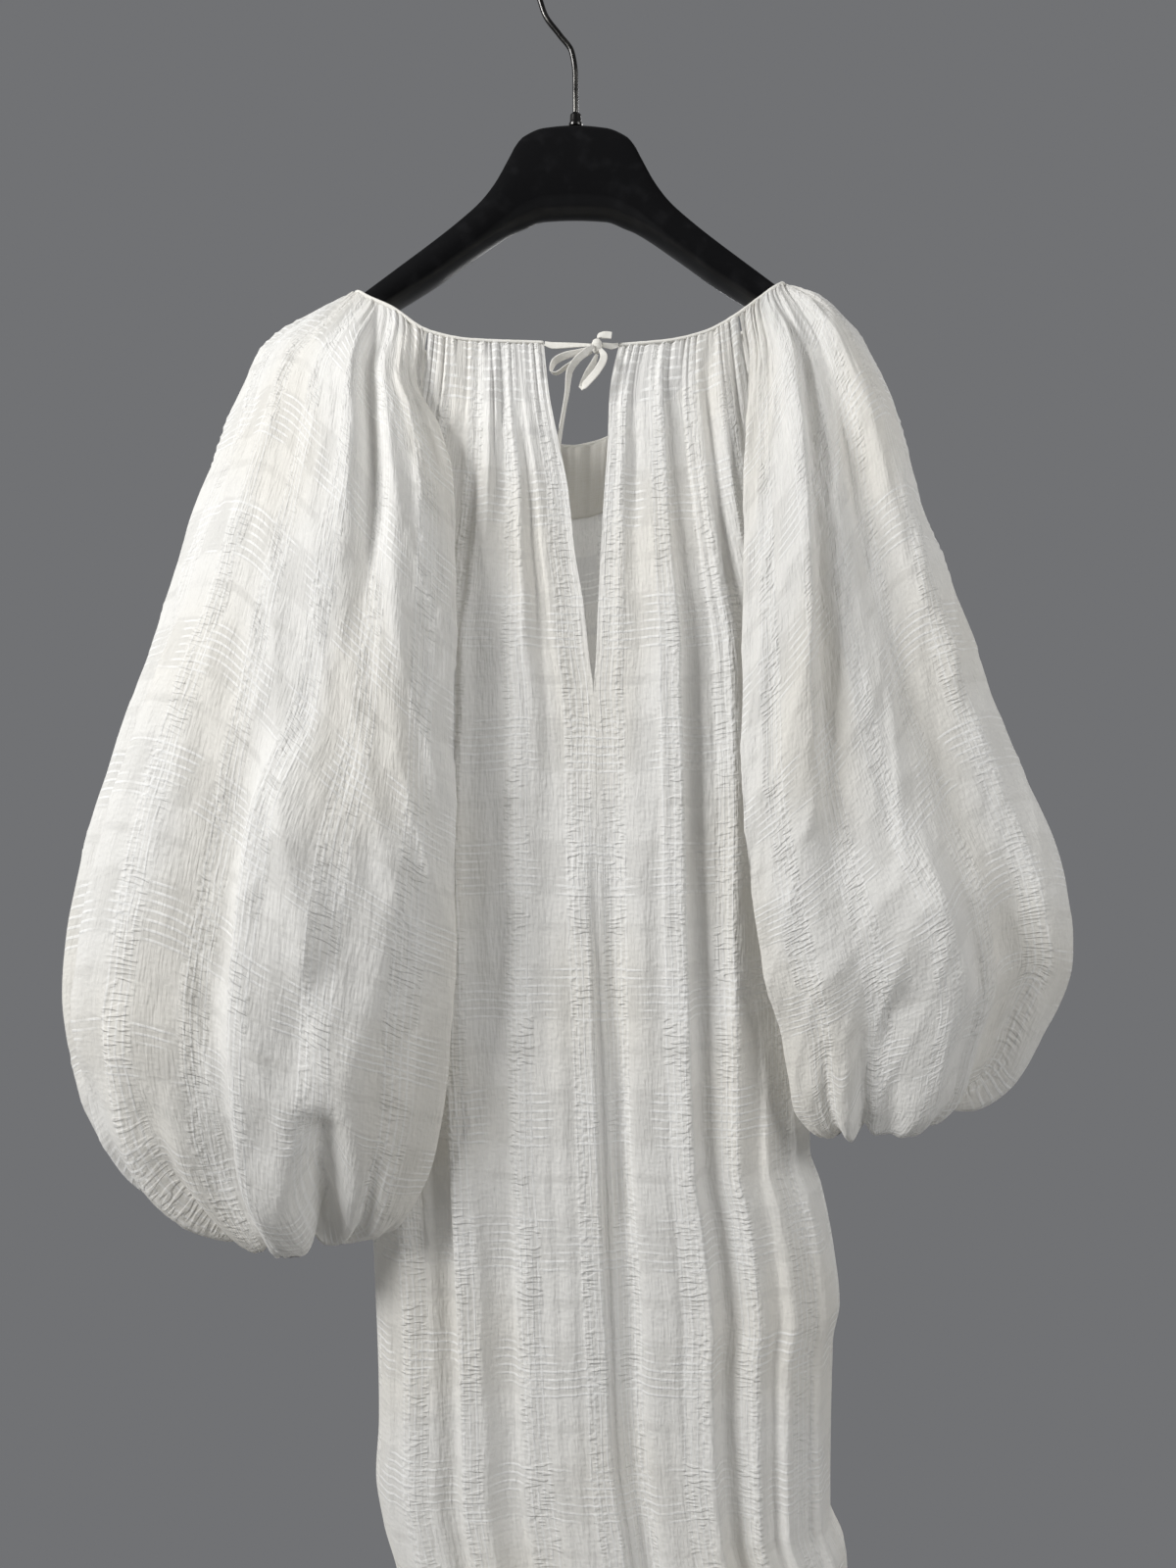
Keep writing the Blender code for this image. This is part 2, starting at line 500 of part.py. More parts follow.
def sleeve_base(side):
    """A sleeve without its folds: across from the front seam, round the outside, to the back seam."""
    piece = f"sleeve_{side}"
    rows = SLEEVE_ROWS[side]
    away = -1.0 if side == "left" else 1.0  # from the body

    def base(across, down):
        across = np.clip(across, 0, 1)
        row = {name: smooth(rows["down"], values, down) for name, values in rows.items()}
        # The two long edges: lapped on the panels' edges, then meeting in the underarm seam.
        front_x, front_y, front_drop = outer_edge(side, "front", down)
        back_x, back_y, back_drop = outer_edge(side, "back", down)
        turn = ease(down / UNDERARM) * math.pi / 2
        above = down <= UNDERARM
        apart = mix(0.004, SEAM_GAP / 2, ease((down - UNDERARM) / 0.04))
        apart = apart + 0.0012 * ease((down - rows["down"][-1] + 0.10) / 0.05)
        tube_drop = row["in_drop"]
        beside = BUTT * (1 - ease(down / 0.09))
        first_x = np.where(above, front_x + away * (LAP * np.sin(turn) + beside), row["seam_x"])
        first_y = np.where(above, front_y - LAP * np.cos(turn), row["seam_y"] - apart)
        first_drop = np.where(above, front_drop, tube_drop)
        last_x = np.where(above, back_x + away * (LAP * np.sin(turn) + beside), row["seam_x"])
        last_y = np.where(above, back_y + LAP * np.cos(turn), row["seam_y"] + apart)
        last_drop = np.where(above, back_drop, tube_drop)
        # Underside: forward past the body's rounded side, in over its front, and round the inner edge.
        part = np.clip(across / UNDERSIDE_END, 0, 1)
        reach = row["in_y"] - first_y
        inner_turn = np.minimum(-0.35 * reach, INNER_TURN)
        lap_y = row["in_y"] + inner_turn
        past = first_x + away * 0.10 * -reach * (1 - ease((down - UNDERARM) / 0.10))
        under_x = bezier(
            part, first_x, past, past, mix(first_x, row["in_x"], 0.45), row["in_x"], row["in_x"]
        )
        under_y = bezier(
            part, first_y, mix(first_y, lap_y, 0.55), lap_y, lap_y, lap_y, row["in_y"]
        )
        under_drop = mix(first_drop, row["in_drop"], part)
        # Front wall: from the inner edge out to the outline.
        part = np.clip((across - UNDERSIDE_END) / (FRONT_WALL_END - UNDERSIDE_END), 0, 1)
        fore_x = bezier(part, row["in_x"], row["in_x"], row["out_x"], row["out_x"])
        fore_x = mix(fore_x, mix(row["in_x"], row["out_x"], part), 0.5)
        fore_y = bezier(
            part, row["in_y"], row["in_y"] - 0.5 * row["fore"], row["out_y"] - row["fore"], row["out_y"]
        )
        fore_drop = mix(row["in_drop"], row["out_drop"], ease(part)) + row["sag"] * np.sin(math.pi * part)
        # Back wall: from the outline round to the back seam.
        part = np.clip((across - FRONT_WALL_END) / (1 - FRONT_WALL_END), 0, 1)
        inward = 1 - ease(down / UNDERARM)
        aft_x = bezier(part, row["out_x"], row["out_x"], mix(last_x, row["out_x"], 0.35 * inward), last_x)
        aft_x = mix(aft_x, mix(row["out_x"], last_x, part), 0.35)
        last_pull = last_y + row["aft"] * mix(1.0, 0.25, inward)
        aft_y = bezier(part, row["out_y"], row["out_y"] + row["aft"], last_pull, last_y)
        aft_drop = mix(row["out_drop"], last_drop, ease(part)) + row["sag"] * np.sin(math.pi * part)
        on_under, on_fore = across < UNDERSIDE_END, across < FRONT_WALL_END
        hanging = np.stack(
            [
                np.where(on_under, under_x, np.where(on_fore, fore_x, aft_x)),
                np.where(on_under, under_y, np.where(on_fore, fore_y, aft_y)),
                -np.where(on_under, under_drop, np.where(on_fore, fore_drop, aft_drop)),
            ],
            axis=-1,
        )
        return leave_neck(piece, across, down, hanging)

    return base


def gather_height(gathers, across, distance):
    """Small gathers of uneven depth and length, fading with the distance from their edge."""
    depth = gathers["depth"] * (1 + 0.3 * np.sin(2 * math.pi * 2.3 * across + 1))
    reach = gathers["reach"] * (1 + 0.45 * np.sin(2 * math.pi * 3.7 * across))
    return depth * np.cos(2 * math.pi * gathers["count"] * across) * np.exp(-((distance / reach) ** 1.5))


def fold_profiles(folds, across, down):
    """How much of each fold stands at each point, with its row."""
    for index in range(len(folds["start"])):
        row = {name: values[index] for name, values in folds.items()}
        share = (down - row["start"]) / (row["end"] - row["start"])
        offset = across - mix(row["at_top"], row["at_end"], np.clip(share, 0, 1))
        width = np.where(offset < 0, row["before"], row["after"])
        yield row, ease(share / 0.25 + 0.25 * (row["start"] == 0)) * ease((1 - share) / 0.2) * np.exp(
            -((offset / width) ** 2)
        )


def base_normal(base, across, down):
    """The unit normal of a base surface at each of its points."""
    step = 1e-3
    along = base(across + step, down) - base(across - step, down)
    fall = base(across, down + step) - base(across, np.maximum(down - step, 0))
    return unit(np.cross(along, fall))


def folded(piece, base, outward, length):
    """A base surface moved along its own normal by its folds and gathers."""

    def surface(across, down):
        across, down = np.broadcast_arrays(np.asarray(across, float), np.asarray(down, float))
        normal = outward * base_normal(base, across, down)
        edges = ease(across / 0.04) * ease((1 - across) / 0.04)
        height = gather_height(GATHERS[piece], across, down)
        if piece.startswith("sleeve"):
            height = height * mix(1.0, ease((across - 0.03) / 0.09), ease(down / 0.02))
        lift = np.zeros_like(height)
        for row, share in fold_profiles(FOLDS[piece], across, down):
            height = height + row["depth"] * share * ease(down / 0.05)
            lift = lift + row["lift"] * share * ease((down - length + 0.25) / 0.12)
        if piece.startswith("sleeve"):
            height = height * (1 - 0.85 * ease((down - length + 0.10) / 0.10))
            height = height + gather_height(CUFF_GATHERS, across, length - down)
        points = base(across, down) + normal * (height * edges)[..., None]
        points[..., 2] += lift * edges
        return points

    return surface


def below_binding(piece, base, across):
    """`down` at which a piece's top edge lies just clear of the binding, at each `across`."""
    before, after = np.clip(across - 1e-3, 0, 1), np.clip(across + 1e-3, 0, 1)
    tangent = unit(neck_points(piece, after) - neck_points(piece, before))
    near, far = np.zeros_like(across), np.full_like(across, 0.02)
    for _ in range(24):
        middle = (near + far) / 2
        half_wall = base_normal(base, across, middle) * WALL / 2
        clear = []
        for face in (half_wall, -half_wall):
            gap = base(across, middle) + face - neck_points(piece, across)
            gap = gap - tangent * np.sum(gap * tangent, axis=-1, keepdims=True)
            clear.append(np.linalg.norm(gap, axis=-1))
        enough = np.minimum(*clear) > BINDING_RADIUS + BINDING_GAP
        near, far = np.where(enough, near, middle), np.where(enough, middle, far)
    return far


def material(name, colour, roughness, metallic=0.0):
    """A plain material of one colour."""
    made = bpy.data.materials.new(name)
    made.use_nodes = True
    shader = made.node_tree.nodes["Principled BSDF"]
    shader.inputs["Base Color"].default_value = (*colour, 1.0)
    shader.inputs["Roughness"].default_value = roughness
    shader.inputs["Metallic"].default_value = metallic
    return made


def add_object(name, builder, finish):
    """An object from finished mesh data, in the dress's collection."""
    mesh = bpy.data.meshes.new(name)
    builder.to_mesh(mesh)
    builder.free()
    mesh.materials.append(finish)
    made = bpy.data.objects.new(name, mesh)
    bpy.data.collections["dress"].objects.link(made)
    return made


def cloth_sheet(name, points, fine_rows, finish):
    """A cloth wall through a grid of points, with every second column left out below its fine rows."""
    rows, columns = points.shape[:2]
    builder = bmesh.new()
    bmesh.ops.create_grid(builder, x_segments=columns - 1, y_segments=rows - 1, size=0.5)
    place = {}
    for vertex in builder.verts:
        column = round((vertex.co.x + 0.5) * (columns - 1))
        row = round((vertex.co.y + 0.5) * (rows - 1))
        place[vertex] = (row, column)
    for vertex, (row, column) in place.items():
        vertex.co = points[row, column]
    spare = [
        edge
        for edge in builder.edges
        if all(place[v][1] % 2 == 1 for v in edge.verts) and min(place[v][0] for v in edge.verts) >= fine_rows
    ]
    bmesh.ops.dissolve_edges(builder, edges=spare, use_verts=True)
    builder.normal_update()
    made = add_object(name, builder, finish)
    wall = made.modifiers.new("wall", "SOLIDIFY")
    wall.thickness = WALL
    wall.offset = 0.0
    made.data.shade_smooth()
    return made


def piece_points(piece, surface, base, columns, stops):
    """The grid of a piece's points, its first row just below the binding."""
    across = np.asarray(columns)[None, :]
    down = np.repeat(np.asarray(stops, float)[:, None], across.size, axis=1)
    down[0] = below_binding(piece, base, across[0])
    return surface(np.repeat(across, len(stops), axis=0), down)


def gather_columns(piece, close_up=()):
    """A column on each crest and in each valley, and two more by each edge named in close_up."""
    step = 1 / (2 * GATHERS[piece]["count"])
    columns = list(np.arange(0, 1 + step / 2, step))
    if "end" in close_up:
        columns[-1:-1] = [1 - step * 0.5, 1 - step * 0.2]
    if "start" in close_up:
        columns[1:1] = [step * 0.2, step * 0.5]
    return columns


def sleeve_columns(piece):
    """The same for a sleeve, with its own columns on the underside."""
    columns = [column for column in gather_columns(piece) if column > UNDERSIDE_END - 1e-6]
    return [share * UNDERSIDE_END for share in UNDERSIDE_COLUMNS] + columns


def build_fronts(cloth):
    """The two front panels."""
    for side, outward in (("left", 1), ("right", -1)):
        piece = f"front_{side}"
        base = front_base(side)
        surface = folded(piece, base, outward, CLOTH_LENGTH)
        points = piece_points(piece, surface, base, gather_columns(piece, ("end",)), BODY_STOPS)
        cloth_sheet(piece, points, FINE_ROWS, cloth)


def build_back(cloth, facing_cloth):
    """The back panel and the opaque band inside its neck."""
    surface = folded("back", back_base, 1, CLOTH_LENGTH)
    columns = gather_columns("back", ("start", "end"))
    points = piece_points("back", surface, back_base, columns, BODY_STOPS)
    cloth_sheet("back", points, FINE_ROWS, cloth)
    # The facing copies the back's own points down to its lower edge, moved inwards.
    last = next(row for row, stop in enumerate(BODY_STOPS) if stop > FACING_DEPTH)
    share = (FACING_DEPTH - BODY_STOPS[last - 1]) / (BODY_STOPS[last] - BODY_STOPS[last - 1])
    lower_edge = mix(points[last - 1], points[last], share)
    upper_edge = mix(points[0], points[1], 0.35)
    facing = np.concatenate([upper_edge[None], points[1:last], lower_edge[None]])
    facing = facing[:, FACING_INSET:-FACING_INSET]
    facing[..., 1] -= FACING_SHIFT
    cloth_sheet("back_facing", facing, len(facing), facing_cloth)


def build_sleeves(cloth):
    """The two sleeves."""
    for side, outward in (("left", 1), ("right", -1)):
        piece = f"sleeve_{side}"
        base = sleeve_base(side)
        stops = SLEEVE_STOPS[side]
        surface = folded(piece, base, outward, stops[-1])
        points = piece_points(piece, surface, base, sleeve_columns(piece), stops)
        cloth_sheet(piece, points, len(stops), cloth)


def tube(name, points, radius, sides, finish):
    """A round cord or wire along a route, with closed ends."""
    curve = bpy.data.curves.new(name, "CURVE")
    curve.dimensions = "3D"
    curve.bevel_depth = radius
    curve.bevel_resolution = sides // 2 - 2
    curve.use_fill_caps = True
    spline = curve.splines.new("POLY")
    spline.points.add(len(points) - 1)
    for point, place in zip(spline.points, points):
        point.co = (*place, 1.0)
    curve.materials.append(finish)
    made = bpy.data.objects.new(name, curve)
    bpy.data.collections["dress"].objects.link(made)


def build_binding(cloth):
    """The narrow bound edge all round the neck, open at the slit."""
    tube("neck_binding", route_points(NECK_EDGE, np.linspace(0, 1, BINDING_POINTS)), BINDING_RADIUS, 6, cloth)


def ribbon(name, route, finish):
    """A flat band along a route, its width and the turn of its face read from the route."""
    columns = route["x"], route["y"], -route["drop"], route["width"], np.radians(route["turn"])
    points = np.stack(columns, axis=1)
    steps = np.linspace(0, 1, 2 * len(points) + 1)
    lengths = np.concatenate(([0.0], np.cumsum(np.linalg.norm(np.diff(points[:, :3], axis=0), axis=1))))
    rows = np.stack([smooth(lengths / lengths[-1], column, steps) for column in points.T], axis=1)
    centres, widths, turns = rows[:, :3], rows[:, 3], rows[:, 4]
    along = unit(np.gradient(centres, axis=0))
    front = unit(np.array([0.0, -1.0, 0.0]) - along * -along[:, 1:2])
    side = np.cross(along, front)
    broad = side * np.cos(turns)[:, None] + front * np.sin(turns)[:, None]
    thin = np.cross(along, broad)
    builder = bmesh.new()
    rings = []
    for centre, wide, flat, width in zip(centres, broad, thin, widths):
        ring = []
        for a, b in ((1, 1), (-1, 1), (-1, -1), (1, -1)):
            ring.append(builder.verts.new(centre + wide * a * width / 2 + flat * b * TIE_THICKNESS / 2))
        rings.append(ring)
    for first, second in zip(rings, rings[1:]):
        for index in range(4):
            after = (index + 1) % 4
            builder.faces.new((first[index], first[after], second[after], second[index]))
    builder.faces.new(rings[0][::-1])
    builder.faces.new(rings[-1])
    bmesh.ops.recalc_face_normals(builder, faces=builder.faces)
    add_object(name, builder, finish)


def build_ties(cloth):
    """The binding's free ends, tied in a bow over the slit."""
    for name, route in TIES.items():
        ribbon(name, route, cloth)
    builder = bmesh.new()
    bmesh.ops.create_uvsphere(builder, u_segments=10, v_segments=7, radius=1.0)
    bmesh.ops.scale(builder, vec=KNOT["radii"], verts=builder.verts)
    bmesh.ops.translate(builder, vec=KNOT["centre"], verts=builder.verts)
    add_object("bow_knot", builder, cloth).data.shade_smooth()


def hanger_ring(x, top, bottom):
    """One section of the hanger: a rounded upright block, as points round its outline."""
    half_height = (bottom - top) / 2
    corners = 12
    rim = math.cos(math.pi / corners) ** (1 - HANGER_SQUARENESS)  # brings the corners out to the full size
    ring = []
    for corner in range(corners):
        angle = 2 * math.pi * (corner + 0.5) / corners
        across, up = math.cos(angle), math.sin(angle)
        square = rim * max(abs(across), abs(up)) ** HANGER_SQUARENESS
        ring.append((x, HANGER_HALF_DEPTH * across / square, half_height * up / square - (top + bottom) / 2))
    return ring


def build_hanger(black, metal):
    """The shaped hanger, its ferrule and its hook."""
    rows = list(zip(HANGER["x"], HANGER["top"], HANGER["bottom"]))
    rows = [(-x, top, bottom) for x, top, bottom in rows[:0:-1]] + rows
    builder = bmesh.new()
    rings = [[builder.verts.new(point) for point in hanger_ring(*row)] for row in rows]
    for first, second in zip(rings, rings[1:]):
        for index in range(len(first)):
            after = (index + 1) % len(first)
            builder.faces.new((first[index], first[after], second[after], second[index]))
    builder.faces.new(rings[0][::-1])
    builder.faces.new(rings[-1])
    bmesh.ops.recalc_face_normals(builder, faces=builder.faces)
    add_object("hanger_body", builder, black).data.shade_smooth()

    top_drop = HANGER["top"][0]
    builder = bmesh.new()
    bmesh.ops.create_cone(
        builder,
        cap_ends=True,
        segments=20,
        radius1=FERRULE_RADIUS,
        radius2=FERRULE_RADIUS * 0.8,
        depth=top_drop - SEAM_GAP - FERRULE_TOP_DROP,
    )
    middle = (top_drop - SEAM_GAP + FERRULE_TOP_DROP) / 2
    bmesh.ops.translate(builder, vec=(HOOK_STEM["x"][0], 0.0, -middle), verts=builder.verts)
    add_object("hook_ferrule", builder, metal)

    stem = np.stack([HOOK_STEM["x"], np.zeros(len(HOOK_STEM["x"])), -HOOK_STEM["drop"]], axis=1)
    stem = route_points(stem, np.linspace(0, 1, 16))
    angles = np.radians(np.linspace(*HOOK_ARC_DEGREES, 24))
    centre_drop = HOOK_RADIUS - WIRE_RADIUS
    heights = HOOK_RADIUS * np.sin(angles) - centre_drop
    arc = np.stack([HOOK_RADIUS * np.cos(angles), np.zeros(len(angles)), heights], axis=1)
    tube("hook_wire", np.concatenate([stem, arc]), WIRE_RADIUS, 8, metal)


def main():
    """Clears the scene and builds the dress on its hanger."""
    for old in list(bpy.data.objects):
        bpy.data.objects.remove(old, do_unlink=True)
    bpy.context.scene.collection.children.link(bpy.data.collections.new("dress"))
    cloth = material("crinkled_cotton", (0.80, 0.79, 0.76), 0.85)
    facing_cloth = material("plain_cotton", (0.78, 0.76, 0.71), 0.85)
    black = material("black_flock", (0.012, 0.012, 0.013), 0.7)
    metal = material("dark_metal", (0.10, 0.10, 0.10), 0.3, 1.0)
    build_fronts(cloth)
    build_back(cloth, facing_cloth)
    build_sleeves(cloth)
    build_binding(facing_cloth)
    build_ties(facing_cloth)
    build_hanger(black, metal)


main()
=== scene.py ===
"""The long white dress on its black suit hanger, dressed for rendering.

Metres, +Z up. The origin is inside the top of the hook's bend, the front of the dress looks towards
-Y, and left and right are those of someone who faces it. `drop` is a height below the origin. On
every cloth piece `across` runs from 0 to 1 between its two long edges, and `down` is the distance
along the cloth from the neck at the seams.
"""

import logging
import math
from dataclasses import dataclass
from enum import Enum
from typing import Callable, Iterator

import bpy
import numpy as np
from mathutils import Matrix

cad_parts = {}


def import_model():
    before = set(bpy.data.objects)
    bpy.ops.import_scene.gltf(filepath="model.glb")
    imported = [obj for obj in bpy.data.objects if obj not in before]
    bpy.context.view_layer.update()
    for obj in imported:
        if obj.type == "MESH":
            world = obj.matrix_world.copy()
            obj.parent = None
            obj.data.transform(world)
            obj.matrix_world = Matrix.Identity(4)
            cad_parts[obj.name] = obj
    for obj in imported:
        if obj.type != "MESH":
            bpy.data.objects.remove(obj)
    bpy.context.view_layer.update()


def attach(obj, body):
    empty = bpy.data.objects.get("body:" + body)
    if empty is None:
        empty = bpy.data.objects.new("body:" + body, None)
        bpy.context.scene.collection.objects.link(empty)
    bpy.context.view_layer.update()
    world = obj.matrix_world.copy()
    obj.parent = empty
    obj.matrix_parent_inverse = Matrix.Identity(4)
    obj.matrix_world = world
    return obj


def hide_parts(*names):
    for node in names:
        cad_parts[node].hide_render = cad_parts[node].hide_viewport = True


log = logging.getLogger("dress")

Array = np.ndarray
Rows = dict[str, Array]
Surface = Callable[[Array, Array], Array]
Piece = bpy.types.Object
Socket = bpy.types.NodeSocket
Point = tuple[float, float, float]  # or any three numbers, by axis
Colour = tuple[float, float, float, float]

SEAM_GAP = 0.0003
LAP = 0.0022  # between the middles of two cloths that lie on each other
HEM_DROP = 1.66
CLOTH_LENGTH = 1.30
UNDERARM = 0.262  # `down` at which the raglan seams end
UNDERARM_GAP = 0.004  # between the edges of a sleeve's seam where it leaves the raglan seams
CUFF_GAP = 0.0012  # that they stand further apart at the cuff
BUTT = 0.0012  # a sleeve's edges stop this far short of the panels' edges at the neck
NECK_BLEND = 0.055  # `down` by which a piece has left the shape of the neck edge
UNDERSIDE_END = 0.0625  # `across` where a sleeve's underside turns into its front wall
INNER_TURN = 0.010  # how far the underside turns in at the sleeve's inner edge
FRONT_WALL_END = 0.56  # `across` where the front wall turns into the back wall
BUTT_LENGTH = 0.09  # `down` by which a sleeve's edges have come over the panels' edges
EDGE_BAND = 0.04  # `across` over which folds die out towards a piece's long edges
GATHER_START = 0.005  # `down` over which the gathers come out of the neck edge
FOLD_START = 0.05  # `down` over which folds and creases do
CUFF_LENGTH = 0.10  # length over which a sleeve's folds flatten towards the cuff
CUFF_FLATTENING = 0.85  # share of the folds that is gone there
BODY = "root"
FOLD_RISE = 0.25  # share of a fold's length over which it rises
FOLD_FADE = 0.2  # share over which it fades, and the same for one that ends above SHORT_FOLD
SHORT_FOLD_FADE = 0.5
SHORT_FOLD = 0.6
LIFT_LENGTH = 0.25  # how far above a sleeve's end the folds start to lift its edge
LIFT_RISE = 0.12  # length over which they do
GIRTH_AT = 0.55  # share of a piece's length at which its girth is measured
CROWDING = 0.45  # how much closer the rows of a cloth's mesh lie at the neck
GIRTH_STEPS = 241  # points along that girth
SEAM_CLOSING = 0.04  # length below the underarm over which a sleeve's own seam closes
SLACK_START = 0.03  # `across` up to which a sleeve's gathers die out below the neck edge
SLACK_LENGTH = 0.09  # `across` over which they come back
CUFF_EDGE = 0.004  # length over which the gathers come out of the cuff's edge
NOISE_CELLS = (251, 257)  # down and across, before the noise repeats
NOISE_START = (7.3, 3.1)  # the cell, across and down, at which a cloth starts


class Side(Enum):
    """A side of the dress, as seen by someone who faces it."""

    LEFT = "left"
    RIGHT = "right"

    @property
    def away(self) -> float:
        """The sign of X that leads away from the body."""
        return -1.0 if self is Side.LEFT else 1.0


class Slot(Enum):
    """The record's material slots."""

    CRINKLED = "crinkled_cotton"
    PLAIN = "plain_cotton"
    FLOCK = "black_flock"
    METAL = "dark_metal"


def table(text: str) -> Rows:
    """Numbers under named columns.

    Args:
        text: A line of names, and below it a line of numbers for each row, which may end in a remark.

    Returns:
        One array for each name.
    """
    names, *rows = [line.split("#")[0].split() for line in text.strip().split("\n")]
    return dict(zip(names, np.array(rows, float).T))


def each(rows: Rows) -> Iterator[dict[str, float]]:
    """The rows of a table, one after another."""
    return (dict(zip(rows, values)) for values in zip(*rows.values()))


NECK = table("""
    x y drop
    -.0262 -.05 .3695  # slit
    -.0886 -.05 .367
    -.1246 -.047 .3585  # front raglan seam
    -.1571 -.037 .335
    -.179 -.0265 .322
    -.1905 -.0185 .3145
    -.196 0 .3158  # over the left arm
    -.1905 .0185 .3145
    -.179 .0275 .322
    -.16 .037 .333
    -.13 .045 .352  # back raglan seam
    -.07 .056 .406
    -.005 .06 .429  # middle of the back
    .065 .0565 .404
    .135 .045 .345  # back raglan seam
    .158 .037 .326
    .1745 .027 .313
    .1815 .019 .3075
    .185 0 .3078  # over the right arm
    .1815 -.019 .3075
    .1745 -.0265 .3125
    .16 -.0325 .3245
    .1392 -.043 .3427  # front raglan seam
    .1111 -.048 .3596
    .0779 -.05 .368
    .0378 -.05 .3713  # slit
""")
NECK_ROWS = {
    "front_left": (0, 2),
    "sleeve_left": (2, 10),
    "back": (10, 14),
    "sleeve_right": (22, 14),
    "front_right": (25, 22),
}

CENTRE = table("""
    drop left right y
    .37 -.0262 .0378 -.05
    .411 -.0219 .0295 -.052
    .454 -.0136 .0279 -.054
    .496 -.0053 .025 -.055
    .545 -.0003 .0221 -.056
    .591 .0072 .0198 -.057
    .636 .0121 .018 -.0575
    .664 .0158 .0163 -.058
    .7 .0178 .0181 -.0585
    .82 .0188 .0191 -.06
    1.055 .0254 .0257 -.062
    1.196 .0312 .0315 -.064
    1.303 .0362 .0365 -.066
    1.406 .0494 .0497 -.068
    1.66 .06 .0603 -.072
""")
REAR = table("""
    drop y
    .352 .056
    .43 .06
    .6 .063
    .9 .067
    1.66 .076
""")

OUTER = {
    Side.LEFT: table("""
    drop front_x front_y back_x back_y
    .352 -.1236 -.0465 -.13 .045
    .4 -.129 -.048 -.139 .045
    .45 -.14 -.0455 -.15 .041
    .5 -.153 -.039 -.162 .034
    .56 -.169 -.027 -.176 .021
    .618 -.186 -.004 -.186 .004
    .66 -.189 -.0002 -.189 .0002
    .75 -.192 -.0002 -.192 .0002
    .95 -.19 -.0002 -.19 .0002
    1.157 -.1775 -.0002 -.1775 .0002
    1.295 -.1731 -.0002 -.1731 .0002
    1.343 -.1757 -.0002 -.1757 .0002
    1.388 -.1688 -.0002 -.1688 .0002
    1.437 -.156 -.0002 -.156 .0002
    1.66 -.148 -.0002 -.148 .0002
"""),
    Side.RIGHT: table("""
    drop front_x front_y back_x back_y
    .343 .1392 -.043 .134 .045
    .385 .1455 -.047 .143 .045
    .435 .153 -.0455 .153 .041
    .485 .164 -.039 .165 .034
    .545 .18 -.027 .181 .021
    .608 .1985 -.004 .1985 .004
    .65 .203 -.0002 .203 .0002
    .75 .205 -.0002 .205 .0002
    .95 .206 -.0002 .206 .0002
    1.062 .2071 -.0002 .2071 .0002
    1.099 .2184 -.0002 .2184 .0002
    1.142 .2271 -.0002 .2271 .0002
    1.196 .2332 -.0002 .2332 .0002
    1.23 .2271 -.0002 .2271 .0002
    1.374 .2245 -.0002 .2245 .0002
    1.414 .2384 -.0002 .2384 .0002
    1.66 .246 -.0002 .246 .0002
"""),
}

SLEEVE_COLUMNS = "down in_x in_y in_drop out_x out_y out_drop fore aft seam_x seam_y sag"
SLEEVES = {
    Side.LEFT: table(SLEEVE_COLUMNS + """
    0 -.125 -.048 .36 -.215 -.001 .308 .018 .018 -.1882 0 0
    .042 -.1315 -.059 .4 -.24 -.004 .331 .034 .034 -.1882 0 0
    .092 -.1141 -.064 .447 -.279 -.008 .364 .052 .048 -.1882 0 0
    .162 -.1 -.074 .517 -.305 -.01 .425 .07 .062 -.1882 0 0
    .262 -.0964 -.082 .618 -.3375 -.012 .518 .086 .076 -.1882 0 0
    .392 -.0964 -.086 .748 -.376 -.014 .643 .1 .088 -.196 -.006 0
    .54 -.0982 -.088 .88 -.426 -.015 .795 .106 .096 -.202 -.01 0
    .65 -.1035 -.086 .975 -.449 -.015 .925 .106 .096 -.206 -.012 0
    .73 -.115 -.08 1.044 -.435 -.016 1.005 .098 .09 -.206 -.012 .004
    .79 -.133 -.072 1.09 -.405 -.018 1.07 .082 .078 -.206 -.01 .012
    .835 -.156 -.062 1.115 -.35 -.02 1.105 .064 .06 -.207 -.006 .022
    .865 -.188 -.056 1.124 -.31 -.024 1.118 .05 .048 -.214 -.004 .018
    .89 -.214 -.06 1.1 -.294 -.028 1.103 .044 .042 -.222 -.006 .006
    .92 -.227 -.052 1.078 -.286 -.03 1.088 .04 .04 -.23 -.012 0
"""),
    Side.RIGHT: table(SLEEVE_COLUMNS + """
    0 .1396 -.045 .344 .201 -.001 .296 .018 .018 .2007 0 0
    .042 .1485 -.0585 .385 .223 -.004 .316 .034 .034 .2007 0 0
    .092 .1437 -.062 .433 .2518 -.008 .35 .052 .048 .2007 0 0
    .162 .139 -.072 .502 .283 -.01 .413 .068 .06 .2007 0 0
    .262 .1376 -.08 .605 .307 -.012 .51 .082 .074 .2007 0 0
    .392 .1368 -.084 .735 .3445 -.014 .632 .094 .084 .209 -.006 0
    .5 .144 -.085 .828 .39 -.015 .733 .098 .09 .216 -.01 0
    .6 .157 -.082 .903 .4302 -.015 .83 .098 .09 .223 -.012 0
    .665 .169 -.077 .948 .4371 -.015 .885 .092 .084 .228 -.012 .002
    .725 .179 -.07 .995 .412 -.016 .945 .08 .074 .233 -.01 .006
    .77 .189 -.062 1.024 .39 -.018 .995 .066 .062 .238 -.006 .008
    .805 .206 -.057 1.038 .35 -.021 1.019 .052 .05 .246 -.004 .006
    .83 .233 -.061 1.012 .324 -.026 1.019 .044 .042 .254 -.006 .003
    .86 .252 -.054 .988 .316 -.03 1.002 .04 .04 .262 -.012 0
"""),
}

